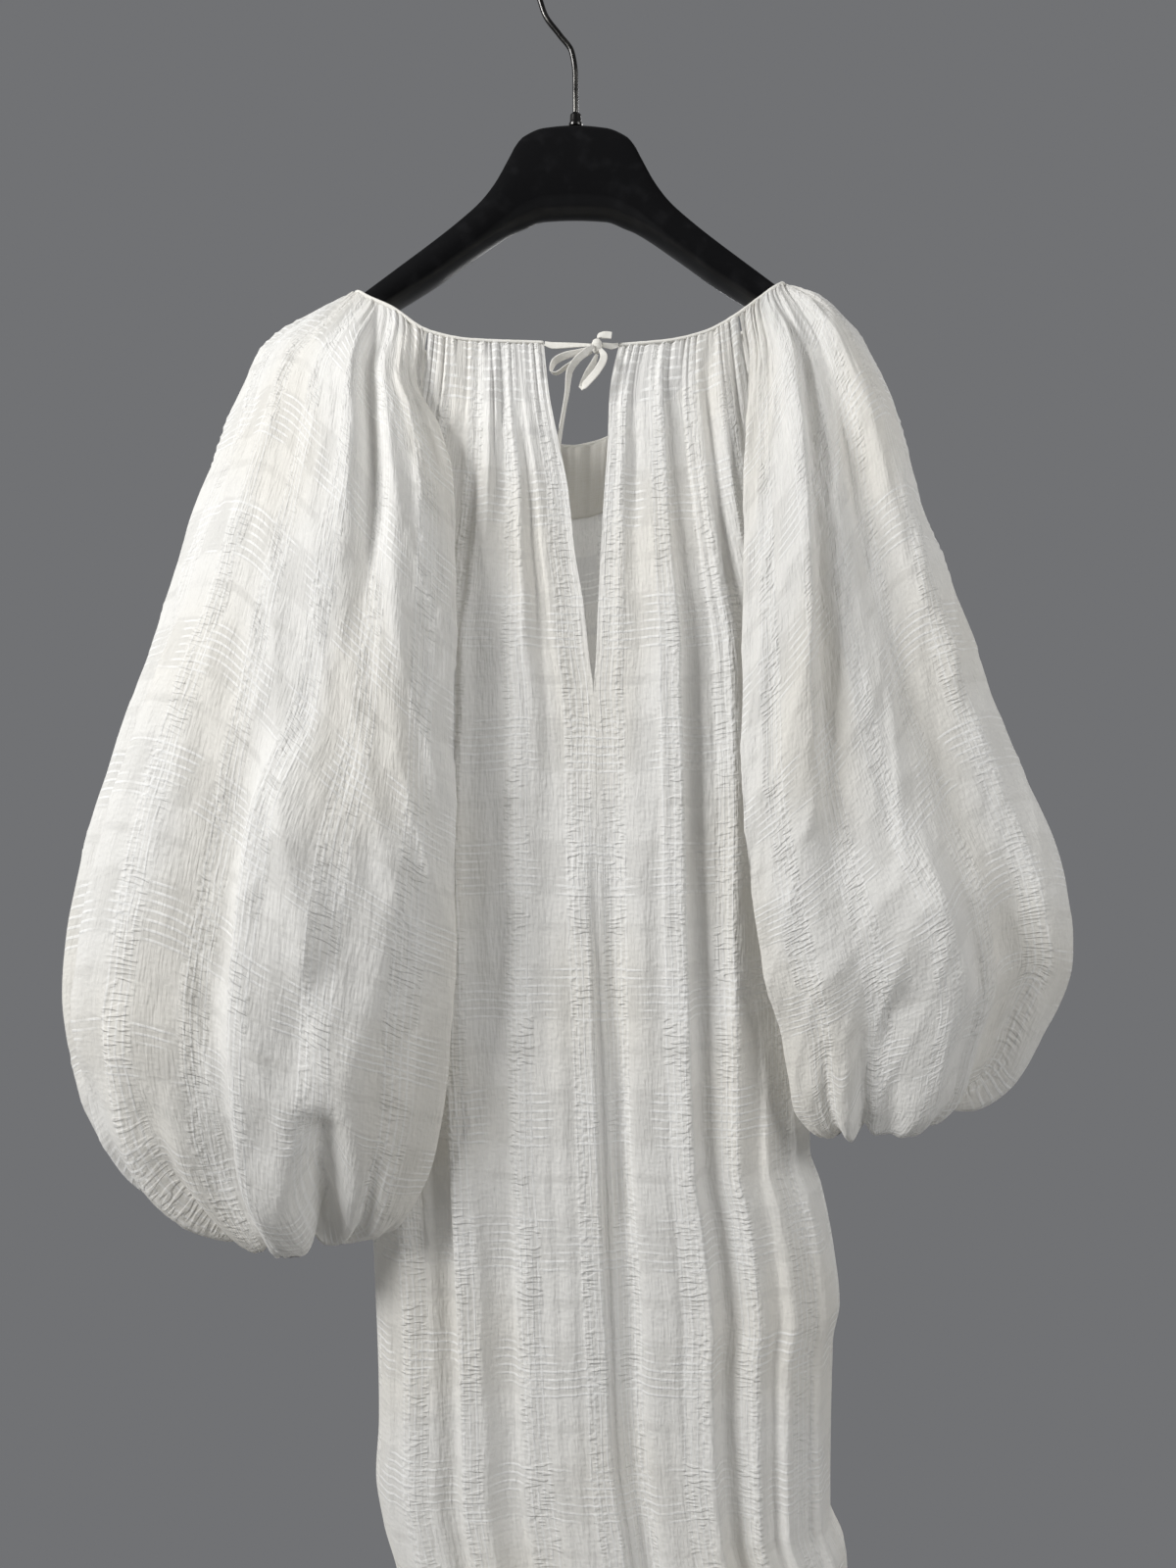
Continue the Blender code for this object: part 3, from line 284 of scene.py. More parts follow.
# The finest creases of every cloth: how much each layer counts, where its noise is read, and how wide
# and tall its lumps are. A pinch is a sharp crease, and sharper with a higher number.
CRINKLES = table("""
    weight shift wide tall
    1 0 .011 .06
    .6 .3 .006 .024
    2.2 .7 .045 .15
""")
PINCHES = table("""
    weight shift fall wide tall sharp
    1.5 1.1 0 .036 .17 2.6
    .7 1.9 .4 .018 .075 2.2
""")

# Folds, a row for each. A fold runs from `across` at_top to at_end between its start and end, stands
# out by its depth (a trough is negative), and falls away over before and after, towards 0 and 1.
# `lift` raises a sleeve's bottom edge where the fold meets it.
FOLD_COLUMNS = "at_top at_end start end depth before after lift"
FOLDS = {
    "front_left": table(FOLD_COLUMNS + """
    .045 .04 .33 1.5 .007 .03 .12 0  # stands over the middle seam
    .17 .19 .4 1.5 .006 .05 .08 0
    .3 .33 .02 1.1 .005 .06 .04 0
    .47 .48 0 .24 .006 .03 .045 0  # pinched fold below the neck
    .59 .59 .14 1.5 .011 .12 .022 0  # long edge beside the sleeve
    .66 .665 .16 1.5 -.006 .03 .06 0
    .83 .82 .62 1.5 .008 .05 .06 0
    .44 .43 .7 1.5 -.005 .06 .05 0
    .205 .095 0 .43 .0035 .045 .014 0  # runs down to the slit's edge
    .315 .225 0 .45 .0035 .03 .018 0
    .255 .17 .01 .42 -.0025 .014 .018 0
    .405 .425 0 .12 .003 .022 .01 0  # the pinch's crisp lip
    .52 .54 .06 .62 .003 .025 .016 0
    .11 .12 .56 1.5 .0017 .035 .014 0
    .245 .23 .46 1.5 .002 .014 .03 0
    .37 .385 .62 1.2 .0026 .035 .012 0
    .52 .5 .42 1.3 .0016 .02 .012 0
    .72 .74 .5 1.1 .0024 .035 .016 0
    .925 .905 .7 1.5 .0024 .016 .025 0
"""),
    "front_right": table(FOLD_COLUMNS + """
    .06 .07 .33 1.5 -.006 .04 .06 0  # sinks under the middle seam
    .2 .19 .06 1.5 .006 .07 .06 0
    .34 .43 0 1.5 .011 .11 .04 0  # long edge over the trough
    .43 .515 .1 1.5 -.006 .045 .05 0
    .63 .61 0 1.5 .008 .04 .08 0
    .8 .76 0 .3 .005 .04 .04 0
    .76 .74 .56 1.5 .009 .03 .07 0
    .9 .89 .6 1.5 .006 .03 .04 0
    .11 .1 0 .38 .003 .022 .03 0
    .185 .215 .01 .5 -.003 .035 .035 0
    .37 .405 0 .36 .0035 .03 .01 0  # crisp ridge from the neck
    .275 .3 .08 .6 .0022 .016 .02 0
    .56 .575 .02 .54 .003 .018 .02 0
    .7 .69 0 .52 -.004 .02 .03 0
    .135 .15 .48 1.2 .002 .02 .032 0
    .26 .275 .52 1.5 .0017 .034 .014 0
    .35 .365 .64 1.5 -.0018 .018 .022 0
    .56 .57 .62 1.3 .002 .028 .014 0
    .69 .68 .7 1.5 -.0024 .022 .022 0
    .84 .83 .74 1.3 .002 .02 .016 0
"""),
    "back": table(FOLD_COLUMNS + """
    .12 .1 .33 1.5 .007 .04 .025 0
    .23 .21 .06 1.5 .009 .03 .055 0
    .34 .35 .02 .8 .006 .04 .03 0
    .46 .44 .05 1.5 .011 .055 .04 0
    .54 .525 .15 1.5 -.006 .035 .035 0
    .65 .68 .04 1.5 .009 .025 .06 0
    .77 .8 .1 1.5 .007 .035 .025 0
    .9 .91 .42 1.5 .008 .025 .035 0
    .06 .05 .52 1.5 .0035 .016 .012 0
    .165 .155 .12 1.5 -.003 .016 .014 0
    .285 .3 0 .62 .003 .018 .01 0
    .4 .39 .08 1.5 .003 .01 .018 0
    .5 .485 .3 1.5 .003 .016 .01 0
    .59 .605 0 .9 .003 .01 .016 0
    .715 .735 .26 1.5 .003 .014 .01 0
    .84 .85 .06 1.5 -.003 .016 .016 0
    .955 .95 .6 1.5 .003 .01 .012 0
"""),
    "sleeve_left": table(FOLD_COLUMNS + """
    .31 .257 0 .33 .012 .022 .09 0  # outer of the three shoulder folds
    .262 .215 .01 .33 -.01 .02 .018 0
    .215 .165 0 .42 .009 .035 .016 0
    .165 .12 .02 .3 .005 .022 .018 0
    .305 .275 .36 .86 .024 .13 .018 0  # the main ridge
    .345 .325 .4 .86 -.014 .02 .055 .012
    .3 .185 .36 .7 .006 .04 .018 0  # slants across the front
    .215 .205 .68 .86 -.006 .03 .03 .012  # notch between the bottom lobes
    .47 .48 .3 .86 .014 .08 .014 0  # edge over the outer layer
    .505 .51 .38 .86 -.008 .015 .03 .01
    .64 .62 .04 .82 .014 .02 .06 0
    .74 .76 .1 .9 .016 .07 .022 0
    .8 .81 .2 .9 -.01 .025 .04 .016
    .88 .89 .02 .9 .012 .03 .04 0
    .204 .204 .66 .94 -.006 .024 .02 .036  # deepest notch of the lower edge
    .15 .145 .7 .94 -.003 .014 .014 .01
    .33 .33 .7 .94 -.003 .014 .016 .009
    .405 .41 .69 .94 -.005 .016 .018 .016
    .465 .47 .68 .94 -.004 .014 .014 .012
    .15 .19 .42 .78 .004 .016 .024 0
    .2 .3 .52 .84 -.004 .016 .016 0
    .3 .315 .54 .88 .0035 .01 .016 0
    .42 .44 .62 .9 .0045 .014 .014 0
    .43 .415 .1 .52 .003 .014 .022 0
    .535 .545 .16 .86 .004 .016 .016 0
    .6 .58 .3 .86 -.005 .016 .016 0
    .69 .7 .08 .82 .005 .014 .02 0
    .85 .85 .3 .88 .005 .014 .014 0
"""),
    "sleeve_right": table(FOLD_COLUMNS + """
    .258 .185 0 .56 .013 .05 .018 0  # ridge near the body
    .292 .218 .03 .56 -.009 .018 .028 0
    .375 .465 0 .52 .013 .022 .07 0  # second, running out to the side
    .345 .405 .06 .6 -.008 .03 .022 0
    .18 .165 .3 .86 .008 .03 .035 0
    .31 .33 .48 .86 .015 .06 .022 0
    .245 .25 .62 .82 -.005 .035 .035 .006
    .5 .49 .22 .82 .012 .045 .016 0
    .405 .41 .56 .86 -.009 .03 .03 .01
    .64 .65 .04 .8 .013 .02 .05 0
    .73 .72 .1 .84 .015 .06 .022 0
    .795 .785 .22 .84 -.008 .032 .04 .014
    .89 .89 .02 .84 .01 .045 .04 0
    .15 .15 .66 .88 -.003 .014 .016 .01
    .205 .205 .64 .88 -.004 .016 .016 .013
    .33 .33 .64 .88 -.004 .016 .018 .01
    .44 .445 .63 .88 -.005 .018 .018 .015
    .13 .12 .1 .7 .0035 .016 .022 0
    .215 .29 .5 .84 .004 .014 .02 0
    .36 .375 .56 .84 .004 .012 .016 0
    .445 .455 .14 .8 .004 .018 .014 0
    .54 .55 .2 .84 -.004 .016 .016 0
    .6 .59 .12 .82 .0045 .014 .018 0
    .69 .68 .24 .84 .0045 .016 .012 0
    .845 .85 .08 .84 .0045 .014 .018 0
"""),
}

HANGER = table("""
    x top bottom
    0 .1612 .243
    .0275 .1635 .2442
    .0455 .1712 .251
    .052 .1785 .2535
    .058 .19 .2565
    .07 .2125 .2635
    .083 .23 .272
    .102 .2475 .285
    .12 .262 .298
    .16 .2925 .3225
    .185 .3115 .337
    .21 .33 .35
    .222 .3385 .353
    .226 .344 .351
""")
FERRULE = table("""
    radius height
    .3 1
    .74 1
    .8 .96
    .82 .85
    .86 .4
    .9 .3
    .99 .26
    1 .2
    1 .05
    .97 0
    .3 0
""")
HOOK_STEM = table("""
    x drop
    .0003 .1497
    0 .115
    -.003 .0945
    -.014 .079
    -.0265 .062
    -.032 .046
""")

# The ties, a row for each point of their routes. `turn` turns the band's face from the front, in
# degrees, about its own run.
TIE_COLUMNS = "x y drop width turn"
TIES = {
    "tie_strip_left": table(TIE_COLUMNS + """
    -.0255 -.05 .3699 .0036 0
    -.018 -.0508 .372 .0056 0
    -.008 -.0524 .3724 .0048 0
    .005 -.0545 .3729 .0034 0
    .0141 -.056 .3735 .0024 0
"""),
    "tie_strip_right": table(TIE_COLUMNS + """
    .0371 -.05 .3713 .0036 0
    .031 -.052 .373 .0052 0
    .0234 -.056 .3732 .0038 0
"""),
    "tie_tail_long": table(TIE_COLUMNS + """
    .0163 -.0608 .3756 .003 20
    .0095 -.0628 .3815 .0062 20
    .0015 -.0625 .3885 .0064 25
    -.0045 -.0605 .3985 .0062 35
    -.0062 -.0565 .412 .006 55
    -.0088 -.053 .426 .0058 62
    -.0118 -.049 .442 .0058 60
    -.014 -.046 .456 .0058 50
    -.0155 -.044 .47 .0058 40
"""),
    "tie_tail_short": table(TIE_COLUMNS + """
    .0196 -.0563 .3675 .0034 60
    .0218 -.0564 .3654 .0056 20
    .0265 -.0566 .365 .0062 0
    .0312 -.0568 .3656 .006 0
"""),
    "bow_loop_left": table(TIE_COLUMNS + """
    .0141 -.0574 .376 .0026 10
    .004 -.0575 .3795 .0046 20
    -.009 -.057 .383 .0064 32
    -.0175 -.056 .388 .0066 50
    -.02 -.055 .395 .006 78
    -.0165 -.0545 .3968 .0056 100
    -.0075 -.054 .3915 .005 120
    .004 -.0538 .384 .004 150
    .0146 -.0543 .3784 .0024 170
"""),
    "bow_loop_right": table(TIE_COLUMNS + """
    .0218 -.0598 .3783 .0034 0
    .0246 -.0618 .385 .0062 0
    .0196 -.0622 .396 .0064 -8
    .0122 -.062 .405 .0064 -15
    .0078 -.0604 .409 .0062 -12
    .0066 -.0572 .4092 .006 -8
    .0076 -.0548 .405 .006 -5
    .0112 -.054 .3965 .006 -5
    .016 -.0552 .388 .005 0
    .0189 -.0563 .3813 .0026 0
"""),
}


def smooth(keys: Array, values: Array, where: Array) -> Array:
    """Monotone cubic through a table's rows, held level past its ends.

    Args:
        keys: The rows' places, rising.
        values: The rows' values.
        where: The places asked for.

    Returns:
        The value at each place.
    """
    gaps = np.diff(keys)
    slopes = np.diff(values) / gaps
    tangents = np.zeros(len(keys))
    same_way = slopes[:-1] * slopes[1:] > 0
    both = np.where(same_way, slopes[:-1] + slopes[1:], 1.0)
    tangents[1:-1] = np.where(same_way, 2 * slopes[:-1] * slopes[1:] / both, 0.0)
    tangents[0], tangents[-1] = slopes[0], slopes[-1]
    place = np.clip(where, keys[0], keys[-1])
    row = np.clip(np.searchsorted(keys, place, side="right") - 1, 0, len(keys) - 2)
    part = (place - keys[row]) / gaps[row]
    return (
        (1 + 2 * part) * (1 - part) ** 2 * values[row]
        + part * (1 - part) ** 2 * gaps[row] * tangents[row]
        + part**2 * (3 - 2 * part) * values[row + 1]
        + part**2 * (part - 1) * gaps[row] * tangents[row + 1]
    )


def ease(value: Array | float) -> Array:
    """0 up to 0, 1 from 1 on, and a soft step between."""
    value = np.clip(value, 0.0, 1.0)
    return value * value * (3 - 2 * value)


def mix(first: Array | float, second: Array | float, share: Array | float) -> Array:
    """First at 0 and second at 1."""
    return first + (second - first) * share


def sway(place: Array, size: float, rate: float, phase: float = 0.0) -> Array:
    """1, give or take a slow wave along a place."""
    return 1 + size * np.sin(2 * math.pi * rate * place + phase)


def unit(vectors: Array) -> Array:
    """Vectors of length 1."""
    return vectors / np.maximum(np.linalg.norm(vectors, axis=-1, keepdims=True), 1e-12)


def bezier(share: Array, *controls: Array) -> Array:
    """A smooth curve from the first control to the last, pulled towards those between.

    Args:
        share: How far along the curve, from 0 to 1.
        controls: The curve's controls.

    Returns:
        The value at each share.
    """
    while len(controls) > 1:
        controls = [mix(first, second, share) for first, second in zip(controls, controls[1:])]
    return controls[0]


def route_shares(points: Array) -> Array:
    """How far along a route each of its own points lies, from 0 to 1."""
    steps = np.concatenate(([0.0], np.cumsum(np.linalg.norm(np.diff(points, axis=0), axis=1))))
    return steps / steps[-1]


def route_points(points: Array, where: Array) -> Array:
    """Points along a smooth curve through a route's own points, by their share of its length."""
    return np.stack([smooth(route_shares(points), column, where) for column in points.T], axis=-1)


NECK_EDGE = np.stack([NECK["x"], NECK["y"], -NECK["drop"]], axis=1)
NECK_LENGTH = np.linalg.norm(np.diff(NECK_EDGE, axis=0), axis=1).sum()


def neck_points(piece: str, across: Array) -> Array:
    """Points of the neck edge where a piece is gathered into it.

    Args:
        piece: The name of its node.
        across: Place across, from 0 to 1.

    Returns:
        The points.
    """
    first, last = route_shares(NECK_EDGE)[list(NECK_ROWS[piece])]
    if piece.startswith("sleeve"):
        inwards = math.copysign(BUTT / NECK_LENGTH, last - first)
        first, last = first + inwards, last - inwards
    return route_points(NECK_EDGE, mix(first, last, across))


def seam_drop(start: Array, down: Array) -> Array:
    """Height below the origin of a point `down` along a seam that starts at the neck."""
    return start + down * (HEM_DROP - start) / CLOTH_LENGTH


def outer_edge(side: Side, face: str, down: Array) -> tuple[Array, Array, Array]:
    """The raglan and side seam of the front or back on one side.

    Args:
        side: Which side.
        face: "front" or "back".
        down: Distance along the cloth from the neck.

    Returns:
        x, y and drop.
    """
    piece = f"front_{side.value}" if face == "front" else "back"
    end = 0.0 if (side, face) == (Side.LEFT, "back") else 1.0
    drop = seam_drop(-neck_points(piece, np.array(end))[2], down)
    edge = OUTER[side]
    x, y = (smooth(edge["drop"], edge[face + axis], drop) for axis in ("_x", "_y"))
    return x, y, drop


def leave_neck(piece: str, across: Array, down: Array, hanging: Array) -> Array:
    """Blends a piece's hanging form into the neck edge at its top."""
    share = 1 - (1 - np.clip(down / NECK_BLEND, 0, 1)) ** 2
    return mix(neck_points(piece, across), hanging, share[..., None])


def front_base(side: Side) -> Surface:
    """A front panel without its folds: across from the middle to the outer edge.

    Args:
        side: Which side.

    Returns:
        The panel's form.
    """
    piece = f"front_{side.value}"

    def base(across: Array, down: Array) -> Array:
        """The panel's points.

        Args:
            across: Place across, from 0 to 1.
            down: Distance down the cloth, in metres.

        Returns:
            The points.
        """
        across = np.clip(across, 0, 1)
        drop = seam_drop(-neck_points(piece, across)[..., 2], down)
        outer_x, outer_y, _ = outer_edge(side, "front", down)
        middle_x = smooth(CENTRE["drop"], CENTRE[side.value], drop)
        middle_y = smooth(CENTRE["drop"], CENTRE["y"], drop)
        round_off = (1 - across**3) ** (1 / 3)
        hanging = np.stack(
            [mix(middle_x, outer_x, across), mix(outer_y, middle_y, round_off), -drop], axis=-1
        )
        return leave_neck(piece, across, down, hanging)

    return base


def back_base(across: Array, down: Array) -> Array:
    """The back panel without its folds: across from the left side to the right.

    Args:
        across: Place across, from 0 to 1.
        down: Distance down the cloth, in metres.

    Returns:
        The panel's points.
    """
    across = np.clip(across, 0, 1)
    drop = seam_drop(-neck_points("back", across)[..., 2], down)
    left_x, left_y, _ = outer_edge(Side.LEFT, "back", down)
    right_x, right_y, _ = outer_edge(Side.RIGHT, "back", down)
    rear = smooth(REAR["drop"], REAR["y"], drop)
    round_off = (1 - np.abs(2 * across - 1) ** 3) ** (1 / 3)
    hanging = np.stack(
        [mix(left_x, right_x, across), mix(mix(left_y, right_y, across), rear, round_off), -drop], axis=-1
    )
    return leave_neck("back", across, down, hanging)


def sleeve_base(side: Side) -> Surface:
    """A sleeve without its folds: across from the front seam, round the outside, to the back seam.

    Args:
        side: Which side.

    Returns:
        The sleeve's form.
    """
    piece = f"sleeve_{side.value}"
    rows = SLEEVES[side]
    away = side.away

    def base(across: Array, down: Array) -> Array:
        """The sleeve's points.

        Args:
            across: Place across, from 0 to 1.
            down: Distance down the cloth, in metres.

        Returns:
            The points.
        """
        across = np.clip(across, 0, 1)
        row = {name: smooth(rows["down"], values, down) for name, values in rows.items()}
        turn = ease(down / UNDERARM) * math.pi / 2
        above = down <= UNDERARM
        apart = mix(UNDERARM_GAP, SEAM_GAP / 2, ease((down - UNDERARM) / SEAM_CLOSING))
        apart = apart + CUFF_GAP * ease((down - rows["down"][-1] + CUFF_LENGTH) / 0.05)
        beside = BUTT * (1 - ease(down / BUTT_LENGTH))

        def long_edge(face: str, ahead: float) -> tuple[Array, Array, Array]:
            """One long edge: over a panel's raglan seam, then along the sleeve's own seam.

            Args:
                face: "front" or "back".
                ahead: 1 or -1, the side of the panel that the sleeve lies on.

            Returns:
                x, y and drop.
            """
            x, y, drop = outer_edge(side, face, down)
            x = np.where(above, x + away * (LAP * np.sin(turn) + beside), row["seam_x"])
            y = np.where(above, y + ahead * LAP * np.cos(turn), row["seam_y"] + ahead * apart)
            return x, y, np.where(above, drop, row["in_drop"])

        first_x, first_y, first_drop = long_edge("front", -1.0)
        last_x, last_y, last_drop = long_edge("back", 1.0)
        # Underside: forward past the body's rounded side, in over its front, and round the inner edge.
        part = np.clip(across / UNDERSIDE_END, 0, 1)
        reach = row["in_y"] - first_y
        lap_y = row["in_y"] + np.minimum(-0.35 * reach, INNER_TURN)
        past = first_x + away * 0.10 * -reach * (1 - ease((down - UNDERARM) / 0.10))
        under_x = bezier(
            part, first_x, past, past, mix(first_x, row["in_x"], 0.45), row["in_x"], row["in_x"]
        )
        under_y = bezier(part, first_y, mix(first_y, lap_y, 0.55), lap_y, lap_y, lap_y, row["in_y"])
        under_drop = mix(first_drop, row["in_drop"], part)
        # Front wall: from the inner edge out to the outline.
        part = np.clip((across - UNDERSIDE_END) / (FRONT_WALL_END - UNDERSIDE_END), 0, 1)
        fore_x = bezier(part, row["in_x"], row["in_x"], row["out_x"], row["out_x"])
        fore_x = mix(fore_x, mix(row["in_x"], row["out_x"], part), 0.5)
        fore_y = bezier(
            part, row["in_y"], row["in_y"] - 0.5 * row["fore"], row["out_y"] - row["fore"], row["out_y"]
        )
        fore_drop = mix(row["in_drop"], row["out_drop"], ease(part)) + row["sag"] * np.sin(math.pi * part)
        # Back wall: from the outline round to the back seam.
        part = np.clip((across - FRONT_WALL_END) / (1 - FRONT_WALL_END), 0, 1)
        inward = 1 - ease(down / UNDERARM)
        aft_x = bezier(part, row["out_x"], row["out_x"], mix(last_x, row["out_x"], 0.35 * inward), last_x)
        aft_x = mix(aft_x, mix(row["out_x"], last_x, part), 0.35)
        last_pull = last_y + row["aft"] * mix(1.0, 0.25, inward)
        aft_y = bezier(part, row["out_y"], row["out_y"] + row["aft"], last_pull, last_y)
        aft_drop = mix(row["out_drop"], last_drop, ease(part)) + row["sag"] * np.sin(math.pi * part)
        under, fore = np.stack([under_x, under_y, -under_drop]), np.stack([fore_x, fore_y, -fore_drop])
        aft = np.stack([aft_x, aft_y, -aft_drop])
        hanging = np.where(across < UNDERSIDE_END, under, np.where(across < FRONT_WALL_END, fore, aft))
        return leave_neck(piece, across, down, np.moveaxis(hanging, 0, -1))

    return base


@dataclass(frozen=True)
class Wander:
    """Seeded smooth noise over a cloth, between -1 and 1."""

    seed: int

    def at(self, u: Array, v: Array, wide: float, tall: float) -> Array:
        """The noise at places on the cloth.

        Args:
            u: Place across the cloth, in metres.
            v: Place down the cloth, in metres.
            wide: Size of a lump across, in metres.
            tall: Size of a lump down, in metres.

        Returns:
            The noise at each place.
        """
        lattice = np.random.default_rng(self.seed).uniform(-1, 1, NOISE_CELLS)
        x, y = u / wide + NOISE_START[0], v / tall + NOISE_START[1]
        column, row = np.floor(x).astype(int), np.floor(y).astype(int)
        share_x, share_y = ease(x - column), ease(y - row)

        def corner(add_x: int, add_y: int) -> Array:
            """The lattice value at one corner of each place's cell."""
            return lattice[(row + add_y) % NOISE_CELLS[0], (column + add_x) % NOISE_CELLS[1]]

        return mix(
            mix(corner(0, 0), corner(1, 0), share_x), mix(corner(0, 1), corner(1, 1), share_x), share_y
        )


@dataclass(frozen=True)
class Gathers:
    """Cloth drawn up along an edge."""

    count: int
    depth: float
    reach: float
    seed: int = 1
    longest: float = 0.0  # how far the longest of them run on as folds
    uneven: tuple[tuple[float, float], ...] = ((0.30, 0.31), (0.18, 0.73))  # sizes and rates of the jitter
    roundness: float = 0.8
    calm: float = 0.35  # how much of the jitter goes with the distance
    trough: float = 1.2  # depth of a trough, of the 2 between trough and crest
    long_place: tuple[float, float] = (0.25, 0.75)  # of the long folds, in shares of a gather
    long_run: tuple[float, float] = (0.12, 1.0)
    long_rarity: float = 1.6  # a higher number makes most of the long folds shorter
    long_drift: tuple[float, float] = (-0.45, 0.45)
    long_stand: tuple[float, float] = (0.4, 1.1)
    long_width: float = 0.26
    long_fan: float = 0.8  # how much wider they get

    def height(self, across: Array, distance: Array) -> Array:
        """How far the gathers stand out.

        Args:
            across: Place along the gathered edge, from 0 to 1.
            distance: Distance from that edge, in metres.

        Returns:
            The height at each place, in metres.
        """
        chance = np.random.default_rng(self.seed)
        jitter = np.zeros_like(across)
        for size, rate in self.uneven:
            jitter = jitter + size * np.sin(2 * math.pi * (rate * self.count * across + chance.random()))
        fan = 1 + self.calm * ease(distance / self.reach)
        crest = np.abs(np.cos(math.pi * (self.count * across + jitter / fan))) ** self.roundness
        crest = 2 * crest - self.trough
        depth = self.depth * sway(across, 0.35, 2.3, 1.0)
        reach = self.reach * sway(across, 0.45, 3.7)
        total = depth * crest * np.exp(-((distance / reach) ** 1.5))
        for index in range(self.count if self.longest else 0):
            centre = (index + chance.uniform(*self.long_place)) / self.count
            run = self.longest * chance.uniform(*self.long_run) ** self.long_rarity
            drift = chance.uniform(*self.long_drift) / self.count
            width = self.long_width / self.count * (1 + self.long_fan * ease(distance / run))
            offset = across - centre - drift * ease(distance / run)
            stand = self.depth * chance.uniform(*self.long_stand) * np.exp(-((distance / run) ** 2))
            total = total + stand * np.exp(-((offset / width) ** 2))
        return total


def fold_profiles(folds: Rows, across: Array, down: Array) -> Iterator[tuple[dict, Array]]:
    """How much of each fold stands at each point.

    Args:
        folds: A table of folds.
        across: Place across the cloth.
        down: Distance down the cloth.

    Yields:
        A fold's row and its share at each point.
    """
    for row in each(folds):
        share = (down - row["start"]) / (row["end"] - row["start"])
        offset = across - mix(row["at_top"], row["at_end"], np.clip(share, 0, 1))
        width = np.where(offset < 0, row["before"], row["after"])
        rise = ease(share / FOLD_RISE + 0.25 * (row["start"] == 0))
        fade = SHORT_FOLD_FADE if row["end"] < SHORT_FOLD else FOLD_FADE
        yield row, rise * ease((1 - share) / fade) * np.exp(-((offset / width) ** 2))


def select_only(piece: Piece) -> None:
    """Deselects everything else and makes a piece the active one."""
    bpy.ops.object.select_all(action="DESELECT")
    piece.select_set(True)
    bpy.context.view_layer.objects.active = piece


def grid_piece(name: str, points: Array, cloth: Array) -> Piece:
    """A sheet of quads through a grid of points.

    Args:
        name: The piece's name.
        points: The points, by row and column.
        cloth: Each point's place on the flat cloth, in metres.

    Returns:
        The piece.
    """
    rows, columns = points.shape[:2]
    bpy.ops.object.select_all(action="DESELECT")
    bpy.ops.mesh.primitive_grid_add(x_subdivisions=columns - 1, y_subdivisions=rows - 1, size=1.0)
    piece = bpy.context.object
    piece.name = piece.data.name = name
    mesh = piece.data
    flat = np.empty(3 * len(mesh.vertices))
    mesh.vertices.foreach_get("co", flat)
    flat = flat.reshape(-1, 3) + 0.5
    column = np.rint(flat[:, 0] * (columns - 1)).astype(int)
    row = np.rint(flat[:, 1] * (rows - 1)).astype(int)
    mesh.vertices.foreach_set("co", points[row, column].ravel())
    corners = np.empty(len(mesh.loops), int)
    mesh.loops.foreach_get("vertex_index", corners)
    mesh.uv_layers.active.name = "cloth"
    mesh.uv_layers.active.data.foreach_set("uv", cloth[row, column][corners].ravel())
    mesh.update()
    mesh.shade_smooth()
    return piece


def close_tube(piece: Piece) -> Piece:
    """Joins a tube's two long edges, closes its ends and turns its faces outwards.

    Args:
        piece: The piece.

    Returns:
        The piece.
    """
    select_only(piece)
    bpy.ops.object.mode_set(mode="EDIT")
    bpy.ops.mesh.select_all(action="SELECT")
    bpy.ops.mesh.remove_doubles(threshold=1e-6)
    bpy.ops.mesh.fill_holes(sides=0)
    bpy.ops.mesh.select_all(action="SELECT")
    bpy.ops.mesh.normals_make_consistent(inside=False)
    bpy.ops.object.mode_set(mode="OBJECT")
    return piece


def tube_piece(name: str, rings: Array) -> Piece:
    """A closed tube through rings of points, its cloth map in metres round and along it.

    Args:
        name: The piece's name.
        rings: The points, by ring and by place round the ring.

    Returns:
        The piece.
    """
    closed = np.concatenate([rings, rings[:, :1]], axis=1)
    along = np.linalg.norm(np.diff(closed.mean(axis=1), axis=0), axis=1)
    along = np.concatenate(([0.0], np.cumsum(along)))
    girth = np.linalg.norm(np.diff(closed[len(closed) // 2], axis=0), axis=1)
    girth = np.concatenate(([0.0], np.cumsum(girth)))
    cloth = np.stack(np.meshgrid(girth, along), axis=-1)
    return close_tube(grid_piece(name, closed, cloth))


def turn_angles(corners: int) -> Array:
    """Even angles round a full turn."""
    return 2 * math.pi * np.arange(corners) / corners


def rings_along(centres: Array, radius: Array, corners: int, up: Point) -> Array:
    """Round rings square to a route.

    Args:
        centres: The route's points.
        radius: The radius at each of them.
        corners: How many points a ring has.
        up: A direction that the route never takes.

    Returns:
        The rings' points.
    """
    forward = unit(np.gradient(centres, axis=0))
    side = unit(np.cross(forward, np.array(up)))
    over = np.cross(side, forward)
    angles = turn_angles(corners)
    round_it = np.cos(angles)[None, :, None] * side[:, None] + np.sin(angles)[None, :, None] * over[:, None]
    return centres[:, None] + round_it * np.asarray(radius).reshape(-1, 1, 1)


